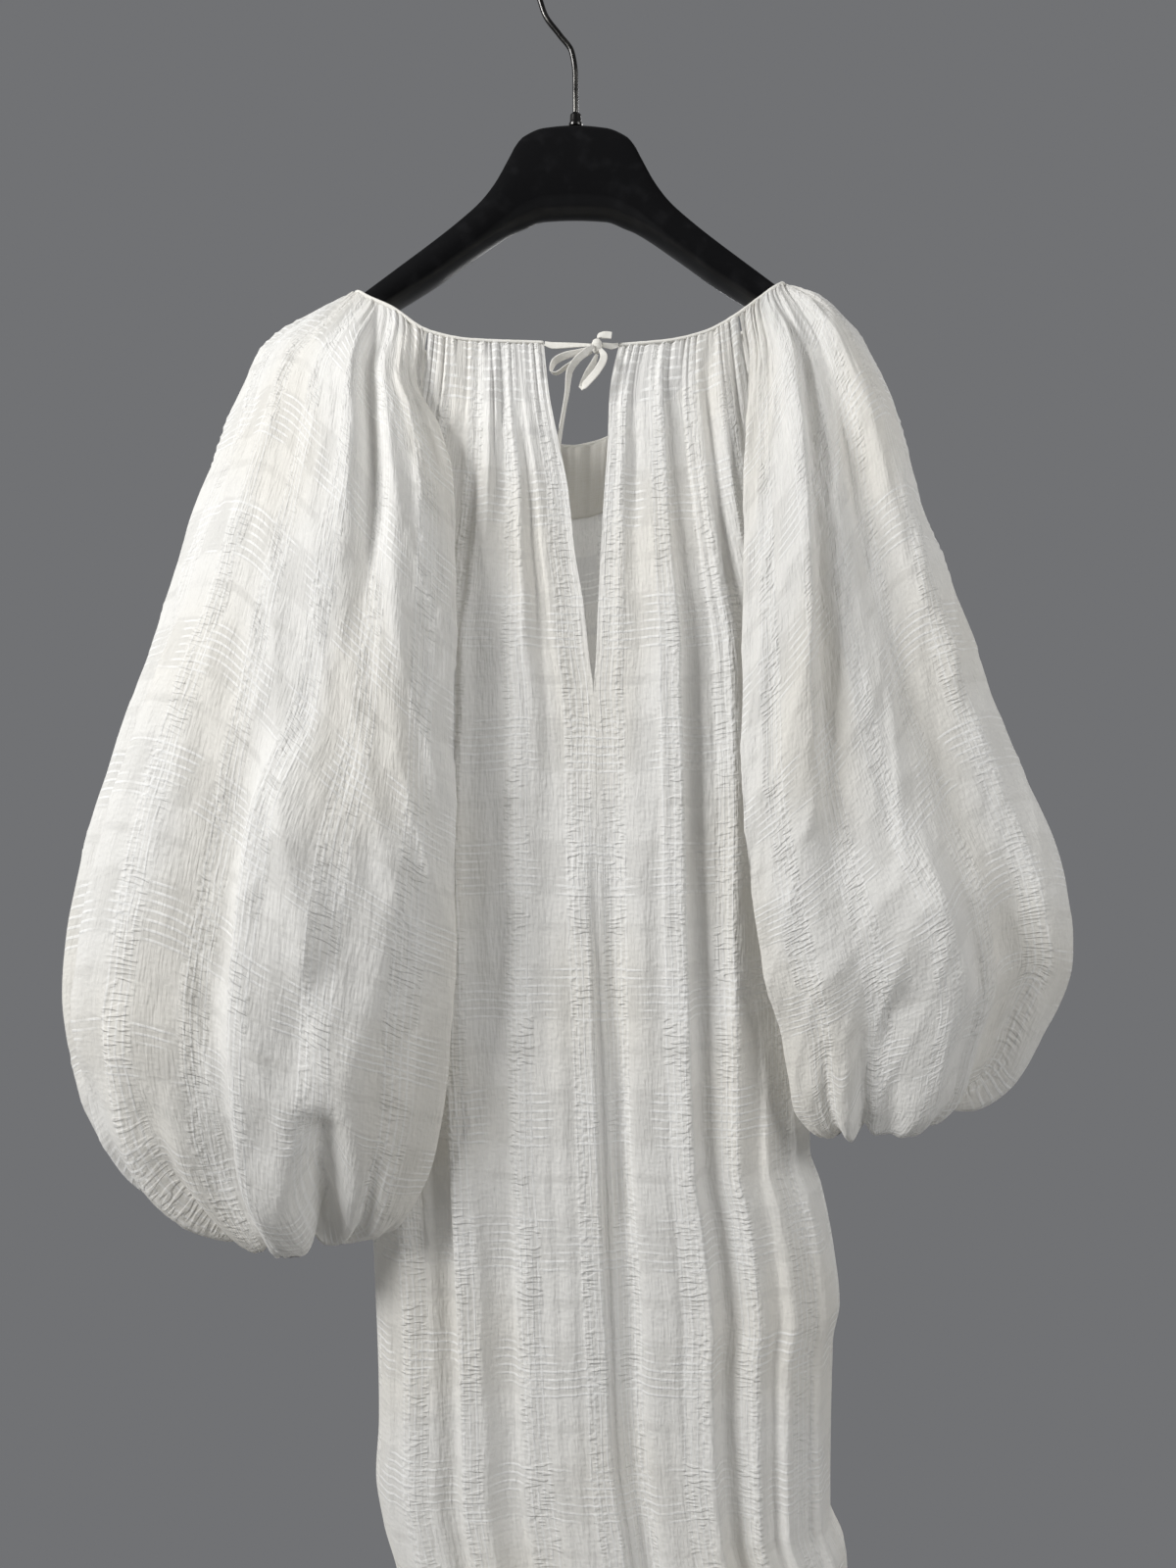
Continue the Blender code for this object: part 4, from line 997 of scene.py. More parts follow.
class Bench:
    """Adds shader nodes to one tree and joins them."""

    def __init__(self, tree: bpy.types.NodeTree) -> None:
        """Starts on a tree."""
        self.tree = tree

    def add(self, kind: str, sockets: dict | None = None, **settings: object) -> bpy.types.Node:
        """Adds a node.

        Args:
            kind: The node's type.
            sockets: Its inputs by name or number, each an output to join or a plain value.
            settings: Its own settings.

        Returns:
            The node.
        """
        node = self.tree.nodes.new(kind)
        for name, value in settings.items():
            setattr(node, name, value)
        for name, value in (sockets or {}).items():
            if isinstance(value, Socket):
                self.tree.links.new(value, node.inputs[name])
            else:
                node.inputs[name].default_value = value
        return node

    def math(self, operation: str, *values: object, clamp: bool = False) -> Socket:
        """A Math node's result."""
        sockets = dict(enumerate(values))
        return self.add("ShaderNodeMath", sockets, operation=operation, use_clamp=clamp).outputs[0]

    def times(self, first: object, second: object) -> Socket:
        """The product of two values."""
        return self.math("MULTIPLY", first, second)

    def fit(self, value: object, scale: object, shift: object) -> Socket:
        """A value, scaled and then shifted."""
        return self.math("MULTIPLY_ADD", value, scale, shift)

    def rest(self, value: object, whole: float = 1.0) -> Socket:
        """What a value leaves of a whole."""
        return self.math("SUBTRACT", whole, value)

    def blend(self, share: object, first: object, second: object) -> Socket:
        """A mix of two colours."""
        return self.add("ShaderNodeMix", {0: share, 6: first, 7: second}, data_type="RGBA").outputs[2]

    def noise(self, where: object, scale: Point, detail: float = 2.0) -> Socket:
        """A noise value on a place that is stretched by a scale for each axis."""
        placed = self.add("ShaderNodeVectorMath", {0: where, 1: scale}, operation="MULTIPLY").outputs[0]
        return self.add("ShaderNodeTexNoise", {"Vector": placed, "Scale": 1.0, "Detail": detail}).outputs[0]

    def step(self, value: object, low: float, high: float) -> Socket:
        """0 below low, 1 above high, and a soft step between."""
        sockets = {0: value, 1: low, 2: high, 3: 0.0, 4: 1.0}
        return self.add("ShaderNodeMapRange", sockets, interpolation_type="SMOOTHSTEP").outputs[0]

    def cloth_place(self) -> Socket:
        """The place on the flat cloth, in metres."""
        return self.add("ShaderNodeUVMap", uv_map="cloth").outputs[0]

    def face(
        self, height: Socket, strength: float, distance: float, **inputs: object
    ) -> tuple[Socket, Socket]:
        """A Principled face with a bump.

        Args:
            height: What stands out.
            strength: How much of it shows, from 0 to 1.
            distance: How far it stands out, in metres.
            inputs: The face's other inputs, each space in a name written as _.

        Returns:
            The face's shader and the bump's normal.
        """
        bump = {"Height": height, "Strength": strength, "Distance": distance}
        normal = self.add("ShaderNodeBump", bump).outputs[0]
        sockets = {name.replace("_", " "): value for name, value in inputs.items()}
        return self.add("ShaderNodeBsdfPrincipled", {**sockets, "Normal": normal}).outputs[0], normal

    def glowing(self, share: float, face: Socket, colour: Socket, normal: Socket) -> Socket:
        """A cloth's face that lets a share of the light through."""
        through = self.add("ShaderNodeBsdfTranslucent", {"Color": colour, "Normal": normal}).outputs[0]
        return self.add("ShaderNodeMixShader", {0: share, 1: face, 2: through}).outputs[0]

    def end(self, shader: Socket) -> None:
        """Makes a shader the material's surface."""
        self.add("ShaderNodeOutputMaterial", {0: shader})


def start_group(name: str, inputs: str, outputs: str) -> tuple[Bench, bpy.types.Node, bpy.types.Node]:
    """An empty node group with named sockets, all numbers but for the place `Cloth`.

    Args:
        name: The group's name.
        inputs: The inputs' names, with commas between them.
        outputs: The outputs' names, with commas between them.

    Returns:
        A bench on the group, its input node and its output node.
    """
    tree = bpy.data.node_groups.new(name, "ShaderNodeTree")
    for in_out, sockets in (("INPUT", inputs), ("OUTPUT", outputs)):
        for socket in sockets.split(", "):
            kind = "NodeSocketVector" if socket == "Cloth" else "NodeSocketFloat"
            tree.interface.new_socket(socket, in_out=in_out, socket_type=kind)
    bench = Bench(tree)
    return bench, bench.add("NodeGroupInput"), bench.add("NodeGroupOutput")


def plain_weave_group() -> bpy.types.NodeTree:
    """A fine plain weave: threads over and under, a little uneven.

    Returns:
        The group.
    """
    bench, given, result = start_group("plain_weave", "Cloth, Threads", "Height, Slub")
    cloth, threads = given.outputs["Cloth"], given.outputs["Threads"]
    split = bench.add("ShaderNodeSeparateXYZ", {0: cloth})
    turn = bench.times(threads, 2 * math.pi)
    warp, weft = (bench.math("SINE", bench.times(split.outputs[axis], turn)) for axis in (0, 1))
    height = bench.fit(bench.times(warp, weft), 0.5, 0.5)
    slubs = [bench.noise(cloth, scale) for scale in ((1400.0, 60.0, 1.0), (50.0, 1100.0, 1.0))]
    bench.tree.links.new(height, result.inputs["Height"])
    bench.tree.links.new(bench.times(bench.math("ADD", *slubs), 0.5), result.inputs["Slub"])
    return bench.tree


# Where the bands of the check rise and where they fall, as shares of their repeat.
PUCKERED_STRIPE = (0.06, 0.12, 0.46, 0.54)
STRIPE_BORDER = (0.30, 0.36, 0.46, 0.54)
THREAD_ROW = (0.03, 0.06, 0.48, 0.52)
OPEN_ROW = (0.70, 0.73, 0.77, 0.80)
WOBBLE = (0.006, 0.007)  # how far the stripes and the rows stray, in metres


def windowpane_group() -> bpy.types.NodeTree:
    """The crinkled check: puckered stripes and rows of thick threads round sheerer windows.

    Returns:
        The group.
    """
    bench, given, result = start_group(
        "crinkled_windowpane",
        "Cloth, Stripe Width, Row Height, Stripe Threads, Row Threads",
        "Threads, Sheer, Puckers",
    )
    cloth = given.outputs["Cloth"]
    wobble = bench.math("SUBTRACT", bench.noise(cloth, (22.0, 9.0, 1.0), 0.0), 0.5)
    split = bench.add("ShaderNodeSeparateXYZ", {0: cloth})
    u, v = (bench.fit(wobble, stray, split.outputs[axis]) for axis, stray in enumerate(WOBBLE))

    def band(place: Socket, size: str, edges: tuple[float, ...]) -> Socket:
        """1 between the inner edges of a repeat and 0 outside its outer edges."""
        phase = bench.math("FRACT", bench.math("DIVIDE", place, given.outputs[size]))
        return bench.times(bench.step(phase, *edges[:2]), bench.rest(bench.step(phase, *edges[2:])))

    def lines(place: Socket, size: str) -> Socket:
        """Thin lines at an even distance."""
        angle = bench.times(bench.math("DIVIDE", place, given.outputs[size]), 2 * math.pi)
        return bench.step(bench.math("SINE", angle), 0.35, 0.95)

    stripe = band(u, "Stripe Width", PUCKERED_STRIPE)
    border = band(u, "Stripe Width", STRIPE_BORDER)
    row = band(v, "Row Height", THREAD_ROW)
    patchy = bench.step(bench.noise(cloth, (38.0, 22.0, 1.0), 0.0), 0.36, 0.60)
    upright = bench.times(lines(u, "Stripe Threads"), stripe)
    level = bench.times(bench.times(lines(v, "Row Threads"), row), patchy)
    threads = bench.math("MAXIMUM", bench.times(upright, 0.75), level)
    windows = bench.times(bench.times(row, bench.rest(stripe)), bench.rest(level))
    broken = bench.times(band(v, "Row Height", OPEN_ROW), bench.fit(patchy, -0.45, 0.65))
    sheer = bench.math("MAXIMUM", bench.times(windows, 0.60), broken)
    fine = bench.noise(cloth, (430.0, 60.0, 1.0), 1.0)
    bars = bench.step(bench.noise(cloth, (85.0, 330.0, 1.0), 0.0), 0.48, 0.66)
    bars = bench.times(bars, bench.fit(bench.times(stripe, bench.rest(patchy, 1.15)), 0.75, 0.10))
    curls = bench.step(bench.noise(cloth, (210.0, 260.0, 1.0), 0.0), 0.34, 0.68)
    curls = bench.times(curls, bench.fit(border, 0.35, 0.20))
    puckers = bench.fit(fine, 1.35, bench.math("ADD", bars, curls))
    for name, socket in (("Threads", threads), ("Sheer", sheer), ("Puckers", puckers)):
        bench.tree.links.new(socket, result.inputs[name])
    return bench.tree


def start_material(name: str) -> tuple[bpy.types.Material, Bench]:
    """An empty material and a bench on its nodes.

    Args:
        name: The material's name.

    Returns:
        The material and the bench.
    """
    made = bpy.data.materials.new(name)
    made.use_nodes = True
    made.node_tree.nodes.clear()
    return made, Bench(made.node_tree)


@dataclass(frozen=True)
class CrinkledCotton:
    """Semi-sheer white cotton, woven in a puckered windowpane check."""

    colour: Colour = (0.83, 0.82, 0.79, 1.0)
    warm: Colour = (0.79, 0.76, 0.69, 1.0)
    bright: Colour = (0.90, 0.90, 0.89, 1.0)
    stripe_width: float = 0.056
    row_height: float = 0.105
    stripe_threads: float = 0.0052
    row_threads: float = 0.0070
    cover: float = 0.94
    sheer: float = 0.25
    glow: float = 0.25  # share of the light that goes through
    hem: float = 0.012
    hem_at: float = CLOTH_LENGTH
    turning: float = 0.0065  # width of the turned edge along the slit and the seams

    def make(self, check: bpy.types.NodeTree) -> bpy.types.Material:
        """Builds the material from the windowpane group.

        Args:
            check: The windowpane group.

        Returns:
            The material.
        """
        made, bench = start_material(Slot.CRINKLED.value)
        cloth = bench.cloth_place()
        sizes = {
            "Cloth": cloth,
            "Stripe Width": self.stripe_width,
            "Row Height": self.row_height,
            "Stripe Threads": self.stripe_threads,
            "Row Threads": self.row_threads,
        }
        pattern = bench.add("ShaderNodeGroup", sizes, node_tree=check).outputs
        place = bench.add("ShaderNodeSeparateXYZ", {0: cloth}).outputs
        hem = bench.step(place[1], self.hem_at - self.hem, self.hem_at - self.hem + 0.0008)
        hem = bench.math("MAXIMUM", hem, bench.step(place[0], self.turning, self.turning - 0.0010))
        tint = bench.step(bench.noise(cloth, (9.0, 5.0, 1.0), 0.0), 0.42, 0.66)
        colour = bench.blend(bench.times(tint, 0.55), self.colour, self.warm)
        colour = bench.blend(bench.times(pattern["Threads"], 0.6), colour, self.bright)
        cover = bench.fit(pattern["Sheer"], -self.sheer, self.cover)
        cover = bench.math("MAXIMUM", bench.fit(pattern["Threads"], 0.12, cover), hem, clamp=True)
        height = bench.fit(hem, 0.5, bench.fit(pattern["Threads"], 0.30, pattern["Puckers"]))
        sheen = {"Sheen_Weight": 0.18, "Sheen_Roughness": 0.45}
        cotton = {"Roughness": 0.88, "Specular_IOR_Level": 0.25, **sheen}
        face, normal = bench.face(height, 0.75, 0.0010, Base_Color=colour, **cotton)
        lit = bench.glowing(self.glow, face, colour, normal)
        gap = bench.add("ShaderNodeBsdfTransparent").outputs[0]
        bench.end(bench.add("ShaderNodeMixShader", {0: cover, 1: gap, 2: lit}).outputs[0])
        return made


@dataclass(frozen=True)
class PlainCotton:
    """Opaque off-white cotton of the facing, the binding and the ties."""

    colour: Colour = (0.80, 0.785, 0.74, 1.0)
    warm: Colour = (0.72, 0.69, 0.61, 1.0)
    thread_count: float = 1100.0
    glow: float = 0.12

    def make(self, weave: bpy.types.NodeTree) -> bpy.types.Material:
        """Builds the material from the plain weave group.

        Args:
            weave: The plain weave group.

        Returns:
            The material.
        """
        made, bench = start_material(Slot.PLAIN.value)
        sizes = {"Cloth": bench.cloth_place(), "Threads": self.thread_count}
        fine = bench.add("ShaderNodeGroup", sizes, node_tree=weave).outputs
        slub = bench.step(fine["Slub"], 0.40, 0.62)
        colour = bench.blend(bench.times(slub, 0.5), self.colour, self.warm)
        height = bench.fit(fine["Height"], 0.4, fine["Slub"])
        cotton = {"Roughness": 0.86, "Specular_IOR_Level": 0.25, "Sheen_Weight": 0.15}
        face, normal = bench.face(height, 0.6, 0.0004, Base_Color=colour, **cotton)
        bench.end(bench.glowing(self.glow, face, colour, normal))
        return made


@dataclass(frozen=True)
class BlackFlock:
    """Black flocked plastic, worn smoother along the hanger's lower lip."""

    colour: Colour = (0.0035, 0.0035, 0.0040, 1.0)
    dusty: Colour = (0.010, 0.010, 0.011, 1.0)

    def make(self) -> bpy.types.Material:
        """Builds the material.

        Returns:
            The material.
        """
        made, bench = start_material(Slot.FLOCK.value)
        place = bench.add("ShaderNodeTexCoord").outputs["Object"]
        fibres = bench.noise(place, (2600.0, 2600.0, 2600.0), 1.0)
        dust = bench.step(bench.noise(place, (60.0, 60.0, 60.0), 4.0), 0.48, 0.75)
        lip = bench.add("ShaderNodeAttribute", attribute_name="lip").outputs["Fac"]
        colour = bench.blend(bench.times(dust, 0.6), self.colour, self.dusty)
        flock = {"Specular_IOR_Level": 0.06, "Sheen_Weight": 0.006, "Sheen_Roughness": 0.5}
        coat = {"Coat_Weight": bench.times(lip, 0.55), "Coat_Roughness": 0.32}
        rough = bench.fit(lip, -0.42, 0.82)
        bench.end(bench.face(fibres, 0.35, 0.0003, Base_Color=colour, Roughness=rough, **flock, **coat)[0])
        return made


@dataclass(frozen=True)
class DarkMetal:
    """Dark polished steel of the hook and its ferrule."""

    colour: Colour = (0.045, 0.044, 0.043, 1.0)
    worn: Colour = (0.11, 0.107, 0.10, 1.0)

    def make(self) -> bpy.types.Material:
        """Builds the material.

        Returns:
            The material.
        """
        made, bench = start_material(Slot.METAL.value)
        place = bench.add("ShaderNodeTexCoord").outputs["Object"]
        rub = bench.step(bench.noise(place, (140.0, 140.0, 60.0), 3.0), 0.45, 0.70)
        colour = bench.blend(rub, self.colour, self.worn)
        scratch = bench.noise(place, (900.0, 900.0, 120.0), 2.0)
        rough = bench.fit(scratch, 0.22, 0.16)
        bench.end(bench.face(scratch, 0.12, 0.0002, Base_Color=colour, Metallic=1.0, Roughness=rough)[0])
        return made


@dataclass(frozen=True)
class Finishes:
    """The four finishes, by the record's slots."""

    made: dict[Slot, bpy.types.Material]

    @classmethod
    def make(cls) -> "Finishes":
        """Builds the shared groups and every material.

        Returns:
            The finishes.
        """
        weave, check = plain_weave_group(), windowpane_group()
        return cls(
            {
                Slot.CRINKLED: CrinkledCotton().make(check),
                Slot.PLAIN: PlainCotton().make(weave),
                Slot.FLOCK: BlackFlock().make(),
                Slot.METAL: DarkMetal().make(),
            }
        )

    def dress(self, piece: Piece, slot: Slot, *nodes: str) -> Piece:
        """Gives a piece its finish and its place in the frame.

        Args:
            piece: The piece.
            slot: Its material slot.
            nodes: The solids that it stands for.

        Returns:
            The piece.
        """
        piece.data.materials.clear()
        piece.data.materials.append(self.made[slot])
        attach(piece, BODY)
        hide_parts(*nodes)
        log.info("%s: %d faces, for %s", piece.name, len(piece.data.polygons), ", ".join(nodes))
        return piece


@dataclass
class ClothPiece:
    """One cut piece of the crinkled cloth, laid over its form with folds, gathers and crinkles."""

    node: str
    base: Surface
    outward: float  # 1 or -1, the side of the form that faces out
    length: float
    cut: tuple[float, float]  # width and length before it was gathered
    gathers: Gathers
    column_stops: tuple[tuple[float, float], ...] = ((0.0, 0.0), (1.0, 1.0))
    columns: int = 90
    rows: int = 420
    cuff: Gathers | None = None
    crinkle: float = 0.0006
    seed: int = 3
    lean: float = 0.65  # how far a fold leans over its steeper side
    cut_share: float = 1.0  # of the cut's rectangle that the cut takes up
    slant: float = 0.0  # how steeply the weave's rows fall towards the piece's two long edges

    def normals(self, across: Array, down: Array) -> tuple[Array, Array]:
        """The form's outward normal and its direction across, at each point.

        Args:
            across: Place across, from 0 to 1.
            down: Distance down the cloth, in metres.

        Returns:
            The normals and the directions.
        """
        step = 1e-3
        along = self.base(across + step, down) - self.base(across - step, down)
        fall = self.base(across, down + step) - self.base(across, np.maximum(down - step, 0))
        return self.outward * unit(np.cross(along, fall)), unit(along)

    def spread(self, across: Array) -> Array:
        """Place across the flat cloth, in metres, of each `across`."""
        stops = np.linspace(0, 1, GIRTH_STEPS)
        row = self.base(stops, np.full_like(stops, GIRTH_AT * self.length))
        return np.interp(across, stops, route_shares(row)) * self.cut[0]

    def creases(self, across: Array, down: Array) -> Array:
        """How far the finest creases stand out, for a crinkle of 1.

        Args:
            across: Place across, from 0 to 1.
            down: Distance down the cloth, in metres.

        Returns:
            The height at each place.
        """
        u = self.spread(across)
        noise = Wander(self.seed)
        total = np.zeros_like(u)
        for row in each(CRINKLES):
            total = total + row["weight"] * noise.at(u + row["shift"], down, row["wide"], row["tall"])
        u = u + self.slant * down
        for row in each(PINCHES):
            pinch = np.abs(noise.at(u + row["shift"], down + row["fall"], row["wide"], row["tall"]))
            total = total + row["weight"] * (1 - row["sharp"] * np.sqrt(pinch))
        return total

    def surface(self, across: Array, down: Array) -> Array:
        """The cloth's points.

        Args:
            across: Place across, from 0 to 1.
            down: Distance down the cloth, in metres.

        Returns:
            The points.
        """
        normal, along = self.normals(across, down)
        edges = ease(across / EDGE_BAND) * ease((1 - across) / EDGE_BAND)
        height = self.gathers.height(across, down) * ease(down / GATHER_START)
        if self.cuff:
            height = height * mix(1.0, ease((across - SLACK_START) / SLACK_LENGTH), ease(down / 0.02))
        shift, lift = np.zeros_like(height), np.zeros_like(height)
        for row, share in fold_profiles(FOLDS[self.node], across, down):
            stand = row["depth"] * share * ease(down / FOLD_START)
            height = height + stand
            if row["depth"] > 0:
                lop = (row["before"] - row["after"]) / (row["before"] + row["after"])
                shift = shift + self.lean * lop * stand
            lift = lift + row["lift"] * share * ease((down - self.length + LIFT_LENGTH) / LIFT_RISE)
        if self.cuff:
            above = self.length - down
            height = height * (1 - CUFF_FLATTENING * ease((CUFF_LENGTH - above) / CUFF_LENGTH))
            height = height + self.cuff.height(across, above) * ease(above / CUFF_EDGE)
        height = height + self.crinkle * self.creases(across, down) * ease(down / FOLD_START)
        points = self.base(across, down) + normal * (height * edges)[..., None]
        points = points + along * (shift * edges)[..., None]
        points[..., 2] += lift * edges
        return points

    def build(self, finishes: Finishes) -> Piece:
        """Args:
            finishes: The four finishes.

        Returns:
            The piece.
        """
        share = np.linspace(0, 1, self.columns + 1)
        stops, places = zip(*self.column_stops)
        across = np.interp(share, stops, places)
        share = np.linspace(0, 1, self.rows + 1)
        down = self.length * ((1 - CROWDING) * share + CROWDING * share**2)
        across, down = np.meshgrid(across, down)
        points = self.surface(across, down)
        u = self.spread(across)
        cloth = np.stack([u, down - self.slant * np.hypot(u - self.cut[0] / 2, 0.04)], axis=-1)
        piece = grid_piece(f"{self.node}_cloth", points, cloth)
        middle = (self.rows // 2) * self.columns + self.columns // 2
        facing = np.array(piece.data.polygons[middle].normal)
        wanted = self.normals(across, down)[0][self.rows // 2, self.columns // 2]
        if facing @ wanted < 0:
            piece.data.flip_normals()
        finishes.dress(piece, Slot.CRINKLED, self.node)
        return piece


@dataclass
class Facing:
    """The opaque band inside the back neck."""

    back: ClothPiece
    first: float = 0.006
    depth: float = 0.072
    inset: float = 0.075  # of the back's width that it leaves free at each side
    shift: float = 0.0026
    columns: int = 110
    rows: int = 22
    wall: float = 0.0008
    cut: tuple[float, float] = (0.30, 0.07)

    def build(self, finishes: Finishes) -> Piece:
        """Args:
            finishes: The four finishes.

        Returns:
            The piece.
        """
        across, down = np.meshgrid(
            np.linspace(self.inset, 1 - self.inset, self.columns + 1),
            np.linspace(self.first, self.depth, self.rows + 1),
        )
        points = self.back.surface(across, down)
        points[..., 1] -= self.shift
        cloth = np.stack([self.back.spread(across), down], axis=-1)
        piece = grid_piece("back_facing_band", points, cloth)
        wall = piece.modifiers.new("wall", "SOLIDIFY")
        wall.thickness = self.wall
        wall.offset = 0.0
        finishes.dress(piece, Slot.PLAIN, "back_facing")
        return piece


@dataclass
class Binding:
    """The narrow bound edge all round the neck, open at the slit."""

    radius: float = 0.0019
    rings: int = 620
    corners: int = 14
    bulge: float = 0.07  # share of the radius that the gathers below take from it
    bulge_length: float = 0.0045
    taper: float = 0.6  # of the radius at the two ends
    up: Point = (0.2, 0.9, 0.35)  # a direction that the neck edge never takes
    seed: int = 11

    def build(self, finishes: Finishes) -> Piece:
        """Builds and dresses the binding.

        Args:
            finishes: The four finishes.

        Returns:
            The piece.
        """
        share = np.linspace(0, 1, self.rings)
        centres = route_points(NECK_EDGE, share)
        place = share * NECK_LENGTH
        bulge = Wander(self.seed).at(place, np.zeros_like(place), self.bulge_length, 1.0)
        radius = self.radius * (1 - self.bulge + self.bulge * bulge)
        radius[[0, -1]] *= self.taper
        rings = rings_along(centres, radius, self.corners, self.up)
        piece = tube_piece("neck_binding_edge", rings)
        return finishes.dress(piece, Slot.PLAIN, "neck_binding")


@dataclass
class Ribbon:
    """One run of the self-fabric tie."""

    node: str
    route: Rows
    thickness: float = 0.0012
    steps: int = 12  # rings for each point of the route
    corners: int = 16
    flatness: float = 0.42  # how square the band's edges are: 1 is an ellipse
    hollow: float = 0.30  # how much thinner the folded band is along its middle
    hollow_width: float = 0.35  # of half the band

    def frames(self) -> tuple[Array, Array, Array, Array]:
        """The band's middle line, its broad and thin directions, and its widths.

        Returns:
            One array for each.
        """
        columns = [self.route["x"], self.route["y"], -self.route["drop"], self.route["width"]]
        points = np.stack([*columns, np.radians(self.route["turn"])], axis=1)
        where = np.linspace(0, 1, self.steps * len(points) + 1)
        shares = route_shares(points[:, :3])
        rows = np.stack([smooth(shares, column, where) for column in points.T], axis=1)
        centres, widths, turns = rows[:, :3], rows[:, 3], rows[:, 4]
        along = unit(np.gradient(centres, axis=0))
        front = unit(np.array([0.0, -1.0, 0.0]) - along * -along[:, 1:2])
        side = np.cross(along, front)
        broad = side * np.cos(turns)[:, None] + front * np.sin(turns)[:, None]
        return centres, broad, np.cross(along, broad), widths

    def build(self, finishes: Finishes) -> Piece:
        """Builds and dresses the band.

        Args:
            finishes: The four finishes.

        Returns:
            The piece.
        """
        centres, broad, thin, widths = self.frames()
        angles = turn_angles(self.corners)
        wide = np.sign(np.cos(angles)) * np.abs(np.cos(angles)) ** self.flatness
        deep = np.sign(np.sin(angles)) * np.abs(np.sin(angles)) ** self.flatness
        deep = deep * (1 - self.hollow * np.exp(-((wide / self.hollow_width) ** 2)))
        rings = (
            centres[:, None]
            + broad[:, None] * (wide[None, :, None] * widths[:, None, None] / 2)
            + thin[:, None] * (deep[None, :, None] * self.thickness / 2)
        )
        piece = tube_piece(f"{self.node}_band", rings)
        return finishes.dress(piece, Slot.PLAIN, self.node)


@dataclass
class Bow:
    """The binding's free ends, tied in a bow over the slit."""

    centre: Point = (0.0187, -0.0568, -0.3745)
    radii: Point = (0.0046, 0.0036, 0.0062)
    wraps: float = 2.2
    groove: float = 0.08  # share of the girth lost between the wraps
    pole: float = 0.06  # how much of the knot's round ends is cut off
    wrap_slope: float = 0.9
    fullness: float = 0.75  # of the knot's outline: 1 is an ellipse and 0 a cylinder
    rings: int = 28
    corners: int = 32

    def knot(self, finishes: Finishes) -> Piece:
        """The knot: a few turns of the band round itself.

        Args:
            finishes: The four finishes.

        Returns:
            The piece.
        """
        heights = np.cos(np.linspace(self.pole, 1 - self.pole, self.rings) * math.pi)
        angles = turn_angles(self.corners)
        turn = self.wraps * math.pi * heights[:, None] + self.wrap_slope * np.cos(angles)[None]
        girth = np.sqrt(1 - heights**2)[:, None] ** self.fullness
        girth = girth * (1 - self.groove + self.groove * np.abs(np.sin(turn)))
        x = self.centre[0] + self.radii[0] * girth * np.cos(angles)
        y = self.centre[1] + self.radii[1] * girth * np.sin(angles)
        z = self.centre[2] + self.radii[2] * np.repeat(heights[:, None], self.corners, axis=1)
        piece = tube_piece("bow_knot_wrap", np.stack([x, y, z], axis=-1))
        return finishes.dress(piece, Slot.PLAIN, "bow_knot")

    def build(self, finishes: Finishes) -> None:
        """Args:
            finishes: The four finishes.
        """
        for node, route in TIES.items():
            band = Ribbon(node, route)
            piece = band.build(finishes)
            if node == "tie_tail_long":
                centres, _, _, widths = band.frames()
        self.knot(finishes)


